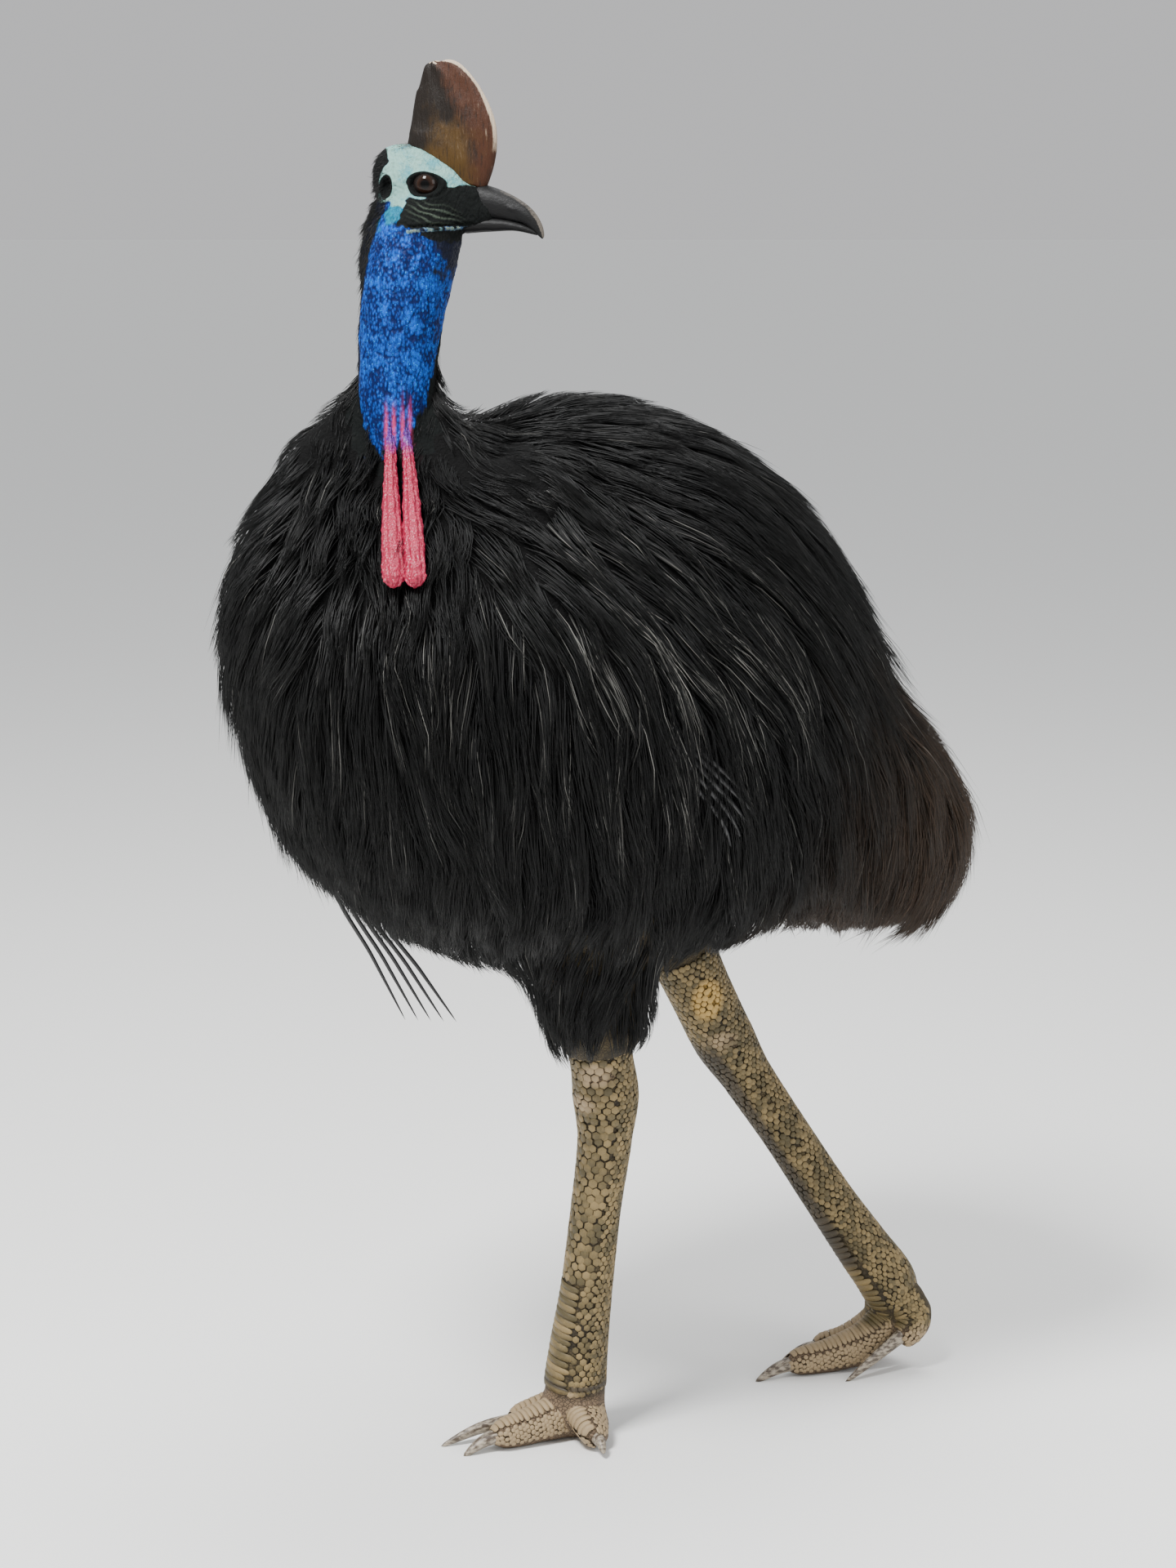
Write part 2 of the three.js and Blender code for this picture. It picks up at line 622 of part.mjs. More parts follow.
// Locks of one thigh, in rings that hang over one another
function thighLocks(loft) {
  return THIGH_RINGS.flatMap((ring, tier) => Array.from({ length: THIGH_LOCKS }, (unused, i) => {
    const angle = ((i + 0.5 * (tier % 2)) / THIGH_LOCKS) * 2 * Math.PI;
    const reach = varied(THIGH_LOCK_REACH);
    const lifts = [-LOCK_ROOT, THIGH_LOCK_LIFT * 0.35, THIGH_LOCK_LIFT];
    const points = lifts.map((lift, row) => loft.at(Math.min(1, ring + reach * 0.4 * row), angle, lift));
    const spine = loft.spine.getPoint(ring);
    const out = points[1].clone().sub(spine);
    out.addScaledVector(loft.spine.getTangent(ring), -out.dot(loft.spine.getTangent(ring))).normalize();
    const fall = loft.spine.getTangent(1).multiplyScalar(varied(THIGH_LOCK_LIFT));
    points.push(points[2].clone().add(fall));
    const faces = points.map(() => out);
    return { points, faces, halfWidth: varied(THIGH_LOCK_HALF_WIDTH), halfThick: LOCK_HALF_THICK };
  }));
}

// Legs, thighs and feet
const cutters = [neckCutter];
const thighCutters = [];
const scute = (rows) => (share, angle) => (
  Math.round(share * rows) % 2 ? SCUTE_RAISE * Math.max(0.25, Math.sin(angle)) : 0
);
const aboveFloor = (solid) => solid.trimByPlane([0, 0, 1], 0);
for (const side of ['left', 'right']) {
  const legRows = 2 * TARSUS_SCUTES;
  const leg = new Loft(LEG_STATIONS[side]).geometry(10, legRows, scute(legRows));
  const legSolid = solidOf(leg);
  const legCutter = solidOf(swell(leg, GAP));
  const thighLoft = new Loft(THIGH_STATIONS[side]);
  const thigh = joined([thighLoft.geometry(12, 5)]);
  for (const lock of thighLocks(thighLoft)) {
    thigh.solid = thigh.solid.add(lockSolid(lock));
    thigh.cutter = thigh.cutter.add(lockSolid(lock, GAP));
  }
  addMesh(cassowary, `shank_${side}`, ahead(legSolid, HOCK_PLANES[side]), COLOURS.leg);
  addMesh(cassowary, `tarsus_${side}`, aboveFloor(behind(legSolid, HOCK_PLANES[side])), COLOURS.leg);
  addMesh(cassowary, `thigh_${side}`, thigh.solid.subtract(legCutter).subtract(coreCutter), COLOURS.coat);
  const footCutters = [legCutter];
  const clear = (solid) => aboveFloor(footCutters.reduce((rest, cutter) => rest.subtract(cutter), solid));
  for (const [toe, { flesh, claw }] of Object.entries(TOES[side])) {
    const toeRows = 2 * TOE_SCUTES;
    const clawForm = joined([new Loft(claw).geometry(8, 5)]);
    const toeForm = joined([new Loft(flesh).geometry(8, toeRows, scute(toeRows))]);
    addMesh(cassowary, `claw_${toe}_${side}`, clear(clawForm.solid), COLOURS.claw);
    addMesh(cassowary, `toe_${toe}_${side}`, clear(toeForm.solid.subtract(clawForm.cutter)), COLOURS.toe);
    footCutters.push(toeForm.cutter, clawForm.cutter);
  }
  cutters.push(legCutter);
  thighCutters.push(thigh.cutter);
}

// Wings: the quills lie on the coat and hang clear below it
for (const [side, { hand, bend, tips, depth, isUnderCoat }] of Object.entries(WINGS)) {
  const laid = (point) => (isUnderCoat ? onBody(point, depth) : point);
  const root = onBody(vector(hand), WING_DEPTH);
  const wrist = onBody(vector(hand), depth);
  const pieces = [new Loft([
    [...root.toArray(), 8, 15],
    [...wrist.toArray(), 8, 17],
    [...onBody(vector(hand), depth - QUILL_RADIUS).toArray(), 0, 0],
  ], [0, 1, 0.2]).geometry(8, 4)];
  for (let i = 0; i < QUILL_COUNT; i += 1) {
    const share = i / (QUILL_COUNT - 1);
    const tip = laid(vector(tips[0]).lerp(vector(tips[1]), share));
    const knee = laid(vector(bend[0]).lerp(vector(bend[1]), share));
    const start = wrist.clone().add(new THREE.Vector3(0, (share - 0.5) * HAND_SPREAD, 0)).lerp(knee, 0.02);
    pieces.push(new Loft([
      [...start.toArray(), QUILL_RADIUS, QUILL_RADIUS],
      [...onBody(start.clone().lerp(knee, 0.5), depth - QUILL_RADIUS).toArray(), QUILL_RADIUS, QUILL_RADIUS],
      [...knee.toArray(), 0.8 * QUILL_RADIUS, 0.8 * QUILL_RADIUS],
      [...laid(knee.clone().lerp(tip, 0.55)).toArray(), 0.6 * QUILL_RADIUS, 0.6 * QUILL_RADIUS],
      [...tip.toArray(), 0, 0],
    ]).geometry(4, 5));
  }
  const wing = joined(pieces);
  addMesh(cassowary, `wing_${side}`, wing.solid, COLOURS.quill);
  cutters.push(wing.cutter);
}
addMesh(cassowary, 'wattle_left', wattles[0].solid.subtract(neckCutter), COLOURS.wattle);
const besideLeft = wattles[1].solid.subtract(neckCutter).subtract(wattles[0].cutter);
addMesh(cassowary, 'wattle_right', besideLeft, COLOURS.wattle);
cutters.push(...wattles.map(({ cutter }) => cutter));

// Every lock of the coat, sorted by the node that its root is in
const clearOf = (solid, tools) => tools.reduce((rest, tool) => rest.subtract(tool), solid);
const union = (solids) => solids.reduce((sum, solid) => sum.add(solid));
const isTail = (point) => point.clone().sub(vector(TAIL_PLANE.at)).dot(upOf(TAIL_PLANE)) > 0;
const coats = { torso: [], tail: [] };
const pole = vector(NECK_FOOT).sub(vector(HEART)).normalize();
const poleAcross = new THREE.Vector3(1, 0, 0);
const poleDeep = pole.clone().cross(poleAcross);
LOCK_RING_ANGLES.forEach((degrees, ring) => {
  const polar = THREE.MathUtils.degToRad(degrees);
  const wayAt = (turn) => pole.clone().multiplyScalar(Math.cos(polar))
    .addScaledVector(poleAcross, Math.sin(polar) * Math.cos(turn))
    .addScaledVector(poleDeep, Math.sin(polar) * Math.sin(turn));
  let turn = ((ring % 2) * LOCK_SPACING) / (2 * bodyReach(wayAt(0)) * Math.sin(polar));
  const lastTurn = turn + 2 * Math.PI;
  while (turn < lastTurn) {
    const way = wayAt(turn);
    const step = LOCK_SPACING / (bodyReach(way) * Math.sin(polar));
    if (turn + LOCK_LAST_STEP * step < lastTurn) {
      const lock = coatLock(vector(HEART).add(way));
      coats[isTail(lock.points[0]) ? 'tail' : 'torso'].push(lock);
    }
    turn += step * (1 + LOCK_UNEVENNESS * (random() - 0.5));
  }
});
const overTail = coats.torso.filter(({ points }) => isTail(points[points.length - 1]));
const overTailCutter = union(overTail.map((lock) => lockSolid(lock, GAP)));
const torsoLocks = clearOf(
  union(coats.torso.map((lock) => lockSolid(lock))),
  [ahead(coreCutter, TAIL_PLANE, -GAP / 2), ...thighCutters],
);
const tailLocks = clearOf(
  union(coats.tail.map((lock) => lockSolid(lock))),
  [behind(coreCutter, TAIL_PLANE, -GAP / 2), overTailCutter, ...thighCutters],
);
const coreSolid = solidOf(core);
const torso = clearOf(behind(coreSolid, TAIL_PLANE).add(collar).add(torsoLocks), cutters);
const tail = clearOf(ahead(coreSolid, TAIL_PLANE).add(tailLocks), cutters);
addMesh(cassowary, 'torso', torso, COLOURS.coat);
addMesh(cassowary, 'tail', tail, COLOURS.tail);

// The origin is the middle of the foot of the whole bird's box
const box = new THREE.Box3().setFromObject(cassowary, true);
cassowary.position.set(-(box.min.x + box.max.x) / 2, -(box.min.y + box.max.y) / 2, -box.min.z);

export default cassowary;
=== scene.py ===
"""Southern cassowary, life size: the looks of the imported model.

Shapes are worked out in the bird's own frame, in millimetres: +X is its left side, -Y the way its
body faces, +Z is up and the foot of the neck is on the Z axis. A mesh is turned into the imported
model's metres when it is written.
"""

import logging
import math
from dataclasses import dataclass, field
from enum import Enum
from typing import Any, Callable, Sequence

import bmesh
import bpy
import numpy as np
from mathutils import Euler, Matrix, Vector
from mathutils.bvhtree import BVHTree
from mathutils.kdtree import KDTree

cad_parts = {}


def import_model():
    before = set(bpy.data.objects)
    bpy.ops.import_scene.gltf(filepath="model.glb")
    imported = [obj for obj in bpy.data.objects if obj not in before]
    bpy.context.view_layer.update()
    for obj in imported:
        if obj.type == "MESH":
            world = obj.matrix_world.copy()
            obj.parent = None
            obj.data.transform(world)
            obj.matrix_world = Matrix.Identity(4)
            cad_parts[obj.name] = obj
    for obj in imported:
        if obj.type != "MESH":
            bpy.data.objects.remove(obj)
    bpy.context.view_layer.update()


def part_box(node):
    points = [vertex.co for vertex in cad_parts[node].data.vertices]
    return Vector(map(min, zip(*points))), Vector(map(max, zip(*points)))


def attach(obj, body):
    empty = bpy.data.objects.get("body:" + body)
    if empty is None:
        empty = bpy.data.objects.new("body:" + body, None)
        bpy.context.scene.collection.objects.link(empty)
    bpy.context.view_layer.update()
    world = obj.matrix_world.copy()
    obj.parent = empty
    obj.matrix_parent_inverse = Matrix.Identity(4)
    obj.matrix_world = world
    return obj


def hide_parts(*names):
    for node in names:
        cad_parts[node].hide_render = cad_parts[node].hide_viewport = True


LOG = logging.getLogger("cassowary")
MM = 0.001
BODY = "root"
FLOOR_GAP = 0.2
PAGE_SPAN = 0.99
PAGE_EDGE = 0.003
PATCH = 0.003

Array = np.ndarray
Station = tuple[float, float, float, float, float]
Relief = Callable[[Array, Array], Array]
Colour = tuple[float, float, float]
Plates = tuple[Array, list[list[int]], Array, Array]


class Side(Enum):
    """The bird's left or right, as the sign of X."""

    LEFT = 1
    RIGHT = -1

    @property
    def word(self) -> str:
        """The side as the parts' names have it."""
        return self.name.lower()


def unit(vectors: Array) -> Array:
    """Vectors of length one, along the last axis."""
    return vectors / np.maximum(np.linalg.norm(vectors, axis=-1, keepdims=True), 1e-9)


def smooth(values: Array, low: float, high: float) -> Array:
    """A soft step from 0 at low to 1 at high."""
    share = np.clip((values - low) / (high - low), 0, 1)
    return share * share * (3 - 2 * share)


def near(points: Array, centre: Sequence[float], halves: Sequence[float]) -> Array:
    """A soft bump: 1 at the centre, 0 from the edge of the ellipsoid with these half sizes."""
    reach = np.linalg.norm((points - np.array(centre)) / np.array(halves), axis=-1)
    return 1 - smooth(reach, 0, 1)


def bell(values: Array, centre: float, width: Array | float) -> Array:
    """A round-topped ridge: 1 at the centre and falling off over the width."""
    return np.exp(-((values - centre) / width) ** 2)


def ripple(points: Array, length: float, seed: int) -> Array:
    """Smooth waves through space, from about -1 to 1, the same for the same seed.

    Args:
        points: Places, in millimetres.
        length: How long the waves are.
        seed: Which set of waves.

    Returns:
        One height for each point.
    """
    draw = np.random.default_rng(seed)
    ways = unit(draw.normal(size=(5, 3))) * draw.uniform(0.7, 1.4, (5, 1)) * 2 * math.pi / length
    return np.sin(points @ ways.T + draw.uniform(0, 2 * math.pi, 5)).sum(axis=1) / 2.5


def curve(points: Array, shares: Array, closed: bool = False) -> Array:
    """Points on the centripetal Catmull-Rom curve through the given ones.

    Args:
        points: The points that it passes, one per row.
        shares: Places along it, from 0 to 1, each span between two points counted alike.
        closed: Whether it returns to its first point.

    Returns:
        One row for each share.
    """
    count = len(points)
    if closed:
        place = (shares % 1) * count
        index = np.floor(place).astype(int)
        before, start, end, after = (points[(index + k) % count] for k in (-1, 0, 1, 2))
    else:
        padded = np.vstack([2 * points[0] - points[1], points, 2 * points[-1] - points[-2]])
        place = np.clip(shares, 0, 1) * (count - 1)
        index = np.clip(np.floor(place).astype(int), 0, count - 2)
        before, start, end, after = (padded[index + k] for k in range(4))
    rest = (place - index)[:, None]
    gaps = [np.linalg.norm(b - a, axis=1, keepdims=True) ** 0.5
            for a, b in ((before, start), (start, end), (end, after))]
    middle = np.where(gaps[1] < 1e-4, 1.0, gaps[1])
    first = np.where(gaps[0] < 1e-4, middle, gaps[0])
    last = np.where(gaps[2] < 1e-4, middle, gaps[2])
    leave = ((start - before) / first - (end - before) / (first + middle) + (end - start) / middle)
    reach = ((end - start) / middle - (after - start) / (middle + last) + (after - end) / last)
    leave, reach = leave * middle, reach * middle
    return (start + rest * leave
            + rest ** 2 * (3 * (end - start) - 2 * leave - reach)
            + rest ** 3 * (2 * (start - end) + leave + reach))


def on_left(points: Array) -> Array:
    """The head's points, with those of its right side moved over to its left."""
    return np.stack([points[:, 0], np.abs(points[:, 1]), points[:, 2]], 1)


def side_view(x: Array, z: Array) -> Array:
    """Places on the head's middle plane."""
    return np.stack([x, np.zeros(len(x)), z], 1)


def above_floor(points: Array) -> Array:
    """The points, none of them lower than a hair's breadth over the floor."""
    points[:, 2] = np.maximum(points[:, 2], FLOOR_GAP)
    return points


def unwrapped(y: Array, x: Array, height: Array) -> Array:
    """Places on a flat page from 0 to 1: a bearing's share of a full turn, and a height."""
    turn = np.arctan2(y, x) / (2 * math.pi) + 0.5
    return np.stack([turn, height], 1) * PAGE_SPAN + PAGE_EDGE


def vertices_of(form: bmesh.types.BMesh) -> Array:
    """A form's vertices, one per row."""
    return np.array([vertex.co for vertex in form.verts])


def move(form: bmesh.types.BMesh, points: Array) -> None:
    """Moves a form's vertices."""
    for vertex, point in zip(form.verts, points):
        vertex.co = point


def ball_form(around: int, rows: int, radius: float = 1) -> bmesh.types.BMesh:
    """A ball with this many points round it and rows from pole to pole."""
    form = bmesh.new()
    bmesh.ops.create_uvsphere(form, u_segments=around, v_segments=rows, radius=radius)
    return form


def face_outward(form: bmesh.types.BMesh) -> None:
    """Turns the faces of a form's closed parts outward, by where its vertices are now."""
    form.normal_update()
    bmesh.ops.recalc_face_normals(form, faces=form.faces)


@dataclass
class Loft:
    """A round body whose oval sections follow a smooth spine.

    Attributes:
        stations: Rows of x, y, z, half across and half deep.
        across: The direction that "across" is measured in.
    """

    stations: Sequence[Station]
    across: Sequence[float] = (1, 0, 0)

    def spine(self, shares: Array) -> Array:
        """Centres of the sections."""
        return curve(np.array(self.stations, float)[:, :3], shares)

    def frame(self, shares: Array) -> tuple[Array, Array, Array]:
        """The tangent, across and deep directions at each share."""
        step = 1e-3
        ahead, behind = (self.spine(np.clip(shares + way, 0, 1)) for way in (step, -step))
        tangent = unit(ahead - behind)
        side = np.array(self.across, float)
        side = unit(side - tangent * (tangent @ side)[:, None])
        return tangent, side, np.cross(tangent, side)

    def sizes(self, shares: Array) -> Array:
        """Half across and half deep at each share."""
        squares = np.array(self.stations, float)[:, 3:] ** 2
        return np.sqrt(np.maximum(curve(squares, shares), 0))

    def travelled(self) -> tuple[Array, Array, Array]:
        """Even shares of the spine, its points there and the distance along it to each."""
        shares = np.linspace(0, 1, 400)
        spine = self.spine(shares)
        steps = np.linalg.norm(np.diff(spine, axis=0), axis=1)
        return shares, spine, np.concatenate([[0], np.cumsum(steps)])

    def at(self, shares: Array, angles: Array, lift: Array | float = 0.0) -> Array:
        """Points on the surface, or lifted off it.

        Args:
            shares: Places along the spine, from 0 to 1.
            angles: Angles round it, in radians, from the across direction.
            lift: Distance off the surface.

        Returns:
            One point for each share.
        """
        _, side, deep = self.frame(shares)
        sizes = self.sizes(shares)
        out_side = ((sizes[:, 0] + lift) * np.cos(angles))[:, None]
        out_deep = ((sizes[:, 1] + lift) * np.sin(angles))[:, None]
        return self.spine(shares) + side * out_side + deep * out_deep

    def form(self, around: int, rows: int, relief: Relief | None = None) -> bmesh.types.BMesh:
        """The body as a closed mesh.

        Args:
            around: Points round each section.
            rows: Sections from end to end.
            relief: Height off the plain surface by share and angle.

        Returns:
            A mesh in the bird's frame; all its faces may point inwards.
        """
        form = ball_form(around, rows)
        ball = vertices_of(form)
        ring = np.rint(np.arccos(np.clip(ball[:, 2], -1, 1)) / math.pi * rows).astype(int)
        flat_start, flat_end = (float(self.stations[i][3]) > 0 for i in (0, -1))
        shares = np.clip((ring - flat_start) / (rows - flat_start - flat_end), 0, 1)
        angles = np.arctan2(ball[:, 1], ball[:, 0])
        lift = relief(shares, angles) if relief else 0.0
        points = self.at(shares, angles, lift)
        pole = (ring == 0) | (ring == rows)
        points[pole] = self.spine(shares[pole])
        move(form, points)
        bmesh.ops.recalc_face_normals(form, faces=form.faces)
        return form


class Frame:
    """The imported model's frame, and the bird's frame within it."""

    def __init__(self, eye_centre: Array) -> None:
        """Measures where the bird's frame lies.

        Args:
            eye_centre: The centre of the right eye in the bird's frame.
        """
        low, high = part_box("eye_right")
        self.shift = np.array((low + high) / 2) / MM - eye_centre

    def to_metres(self, points: Array) -> Array:
        """Points of the bird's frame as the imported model's metres."""
        return (points + self.shift) * MM

    def to_bird(self, points: Array) -> Array:
        """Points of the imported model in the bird's frame."""
        return points / MM - self.shift

    def points(self, mesh: bpy.types.Mesh) -> Array:
        """A mesh's vertices in the bird's frame, one per row."""
        return self.to_bird(points_of(mesh))

    def lift(self, mesh: bpy.types.Mesh, heights: Array) -> None:
        """Moves a mesh's vertices along their normals, by millimetres."""
        set_points(mesh, self.to_metres(self.points(mesh) + normals_of(mesh) * heights[:, None]))

    def mesh(self, name: str, forms: Sequence[bmesh.types.BMesh]) -> bpy.types.Mesh:
        """Joins forms of the bird's frame in one mesh in metres, and frees them."""
        joined = bmesh.new()
        for form in forms:
            part = bpy.data.meshes.new("part")
            form.to_mesh(part)
            form.free()
            joined.from_mesh(part)
            bpy.data.meshes.remove(part)
        mesh = bpy.data.meshes.new(name)
        joined.to_mesh(mesh)
        joined.free()
        set_points(mesh, self.to_metres(points_of(mesh)))
        return mesh

    def solid(self, name: str, forms: Sequence[bmesh.types.BMesh]) -> bpy.types.Mesh:
        """The same as mesh, with the faces of every form turned outward."""
        mesh = self.mesh(name, forms)
        form = bmesh.new()
        form.from_mesh(mesh)
        face_outward(form)
        form.to_mesh(mesh)
        form.free()
        return mesh


def points_of(mesh: bpy.types.Mesh) -> Array:
    """A mesh's vertices, one per row."""
    flat = np.empty(3 * len(mesh.vertices), np.float32)
    mesh.vertices.foreach_get("co", flat)
    return flat.reshape(-1, 3).astype(float)


def set_points(mesh: bpy.types.Mesh, points: Array) -> None:
    """Moves a mesh's vertices."""
    mesh.vertices.foreach_set("co", points.astype(np.float32).ravel())
    mesh.update()


def normals_of(mesh: bpy.types.Mesh) -> Array:
    """A mesh's vertex normals, one per row."""
    flat = np.empty(3 * len(mesh.vertices), np.float32)
    mesh.vertex_normals.foreach_get("vector", flat)
    return flat.reshape(-1, 3).astype(float)


def add_values(mesh: bpy.types.Mesh, name: str, values: Array) -> None:
    """Stores one number per vertex, for a material to read."""
    layer = mesh.attributes.new(name, "FLOAT", "POINT")
    layer.data.foreach_set("value", values.astype(np.float32))


def baked(holder: bpy.types.Object) -> bpy.types.Mesh:
    """The holder's mesh with its modifiers applied; the holder is removed."""
    bpy.context.view_layer.update()
    shown = holder.evaluated_get(bpy.context.evaluated_depsgraph_get())
    mesh = bpy.data.meshes.new_from_object(shown)
    old = holder.data
    bpy.data.objects.remove(holder)
    bpy.data.meshes.remove(old)
    return mesh


def hold(mesh: bpy.types.Mesh) -> bpy.types.Object:
    """An object in the scene that holds a mesh."""
    holder = bpy.data.objects.new(mesh.name, mesh)
    bpy.context.scene.collection.objects.link(holder)
    return holder


def fused(mesh: bpy.types.Mesh, voxel: float, smoothing: int) -> bpy.types.Mesh:
    """One even, closed surface over all the closed bodies of a mesh.

    Args:
        mesh: The overlapping bodies, in metres.
        voxel: The new surface's grain, in metres.
        smoothing: How often it is smoothed.

    Returns:
        The new surface.
    """
    holder = hold(mesh)
    remesh = holder.modifiers.new("grain", "REMESH")
    remesh.mode = "VOXEL"
    remesh.voxel_size = voxel
    made = baked(holder)
    form = bmesh.new()
    form.from_mesh(made)
    for _ in range(smoothing):
        bmesh.ops.smooth_vert(form, verts=form.verts, factor=0.5,
                              use_axis_x=True, use_axis_y=True, use_axis_z=True)
    form.to_mesh(made)
    form.free()
    return made


def united(meshes: Sequence[bpy.types.Mesh]) -> bpy.types.Mesh:
    """The union of closed meshes."""
    base, *others = [hold(mesh) for mesh in meshes]
    for other in others:
        join = base.modifiers.new("join", "BOOLEAN")
        join.operation = "UNION"
        join.solver = "MANIFOLD"
        join.object = other
    made = baked(base)
    for other in others:
        mesh = other.data
        bpy.data.objects.remove(other)
        bpy.data.meshes.remove(mesh)
    return made


def show(mesh: bpy.types.Mesh, name: str, nodes: Sequence[str],
         materials: Sequence[bpy.types.Material]) -> bpy.types.Object:
    """Puts a finished piece in the scene.

    Args:
        mesh: Its mesh, in metres.
        name: The piece's name.
        nodes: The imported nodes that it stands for.
        materials: Its finishes, in the order that its faces number them.

    Returns:
        The piece.
    """
    piece = hold(mesh)
    piece.name = mesh.name = name
    for material in materials:
        mesh.materials.append(material)
    mesh.shade_smooth()
    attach(piece, BODY)
    if nodes:
        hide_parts(*nodes)
    mesh.calc_loop_triangles()
    LOG.info("%s: %d triangles", name, len(mesh.loop_triangles))
    return piece


class Value:
    """A number or colour that a node gives, with arithmetic that adds nodes."""

    def __init__(self, tree: bpy.types.NodeTree, socket: bpy.types.NodeSocket) -> None:
        """Wraps one output socket of a tree."""
        self.tree = tree
        self.socket = socket

    def _math(self, operation: str, first: Any, second: Any) -> "Value":
        """A Math node on two numbers or values."""
        return add_node(self.tree, "ShaderNodeMath", {"operation": operation}, {0: first, 1: second})

    def __add__(self, other: Any) -> "Value":
        """The sum."""
        return self._math("ADD", self, other)

    __radd__ = __add__

    def __sub__(self, other: Any) -> "Value":
        """The difference."""
        return self._math("SUBTRACT", self, other)

    def __mul__(self, other: Any) -> "Value":
        """The product."""
        return self._math("MULTIPLY", self, other)

    __rmul__ = __mul__

    def step(self, low: float, high: float) -> "Value":
        """A soft step from 0 at low to 1 at high."""
        return add_node(self.tree, "ShaderNodeMapRange", {"interpolation_type": "SMOOTHSTEP"},
                        {"Value": self, "From Min": low, "From Max": high})


def add_node(tree: bpy.types.NodeTree, kind: str, settings: dict[str, Any], sockets: dict[Any, Any],
             output: int | str = 0) -> Value:
    """Adds one node.

    Args:
        tree: The material's node tree.
        kind: The node's type.
        settings: Its properties; "stops" gives a ramp's places and colours.
        sockets: Values or links of its inputs, by name or number.
        output: The output to give back.

    Returns:
        The chosen output.
    """
    node = tree.nodes.new(kind)
    for name, setting in settings.items():
        if name == "stops":
            ramp = node.color_ramp
            while len(ramp.elements) < len(setting):
                ramp.elements.new(1)
            for element, (place, colour) in zip(ramp.elements, setting):
                element.position = place
                element.color = (*colour, 1)
        else:
            setattr(node, name, setting)
    for name, given in sockets.items():
        if isinstance(given, Value):
            tree.links.new(given.socket, node.inputs[name])
        elif isinstance(given, tuple) and len(given) == 3 and node.inputs[name].type == "RGBA":
            node.inputs[name].default_value = (*given, 1)
        else:
            node.inputs[name].default_value = given
    return Value(tree, node.outputs[output] if node.outputs else None)


class Paint:
    """A material under construction."""

    def __init__(self, name: str) -> None:
        """Starts an empty material."""
        self.material = bpy.data.materials.new(name)
        self.material.use_nodes = True
        self.tree = self.material.node_tree
        self.tree.nodes.clear()

    def add(self, kind: str, settings: dict[str, Any] | None = None, sockets: dict[Any, Any] | None = None,
            output: int | str = 0) -> Value:
        """Adds one node to the material."""
        return add_node(self.tree, kind, settings or {}, sockets or {}, output)

    def place(self, scale: Sequence[float] = (1, 1, 1)) -> Value:
        """Object coordinates in metres, stretched."""
        plain = self.add("ShaderNodeTexCoord", output="Object")
        return self.add("ShaderNodeMapping", {}, {"Vector": plain, "Scale": tuple(scale)})

    def noise(self, scale: float, detail: float = 3, where: Value | None = None,
              rough: float = 0.5) -> Value:
        """Cloudy noise from about 0.3 to 0.7."""
        return self.add("ShaderNodeTexNoise", {}, {"Vector": where or self.place(), "Scale": scale,
                                                   "Detail": detail, "Roughness": rough})

    def cells(self, scale: float, where: Value | None = None, feature: str = "F1") -> Value:
        """Distance within cells."""
        return self.add("ShaderNodeTexVoronoi", {"feature": feature},
                        {"Vector": where or self.place(), "Scale": scale})

    def given(self, name: str) -> Value:
        """A number stored on the mesh."""
        return self.add("ShaderNodeAttribute", {"attribute_name": name}, output="Fac")

    def frayed(self, name: str, cloud: Value, amount: float) -> Value:
        """A number stored on the mesh, with clouds over it to break up its edges."""
        return self.given(name) + (cloud - 0.5) * amount

    def mix(self, share: Any, first: Any, second: Any) -> Value:
        """A colour between two others."""
        return self.add("ShaderNodeMix", {"data_type": "RGBA"}, {0: share, 6: first, 7: second}, output=2)

    def bump(self, height: Value, distance: float, strength: float = 1.0) -> Value:
        """A normal from a height, in metres."""
        return self.add("ShaderNodeBump", {}, {"Height": height, "Distance": distance, "Strength": strength})

    def finish(self, colour: Any, roughness: Any, normal: Value | None = None,
               **fixed: float | Colour) -> bpy.types.Material:
        """Ends the material with its surface.

        Args:
            colour: Base colour.
            roughness: Roughness.
            normal: Bumped normal.
            **fixed: Other sockets of the surface, with spaces written as underscores.

        Returns:
            The finished material.
        """
        sockets: dict[Any, Any] = {"Base Color": colour, "Roughness": roughness}
        if normal:
            sockets["Normal"] = normal
        sockets.update({name.replace("_", " "): value for name, value in fixed.items()})
        surface = self.add("ShaderNodeBsdfPrincipled", {}, sockets)
        self.add("ShaderNodeOutputMaterial", {}, {"Surface": surface})
        return self.material


@dataclass(frozen=True)
class FeatherFinish:
    """Glossy black strands, with painted highlights in grey along some of them, and brown where they are
    worn.
    """

    black: Colour = (0.0027, 0.0029, 0.0029)
    soft: Colour = (0.0125, 0.0125, 0.0120)
    # The grey of the painted highlights.
    grey: Colour = (0.230, 0.224, 0.205)
    brown: Colour = (0.060, 0.036, 0.021)

    def material(self) -> bpy.types.Material:
        """Builds the finish; it reads the strands' own numbers."""
        paint = Paint("feathers")
        strand, along = paint.given("strand"), paint.given("along")
        base = paint.mix(strand * paint.given("mood"), self.black, self.soft)
        # Painted highlight: grey along the strands that the streak number marks, fading in from the root.
        base = paint.mix(paint.given("streak") * along.step(0.15, 0.55), base, self.grey)
        colour = paint.mix(paint.given("worn") * 0.9, base, self.brown)
        return paint.finish(colour, 0.43 + 0.16 * strand, Specular_IOR_Level=0.27)


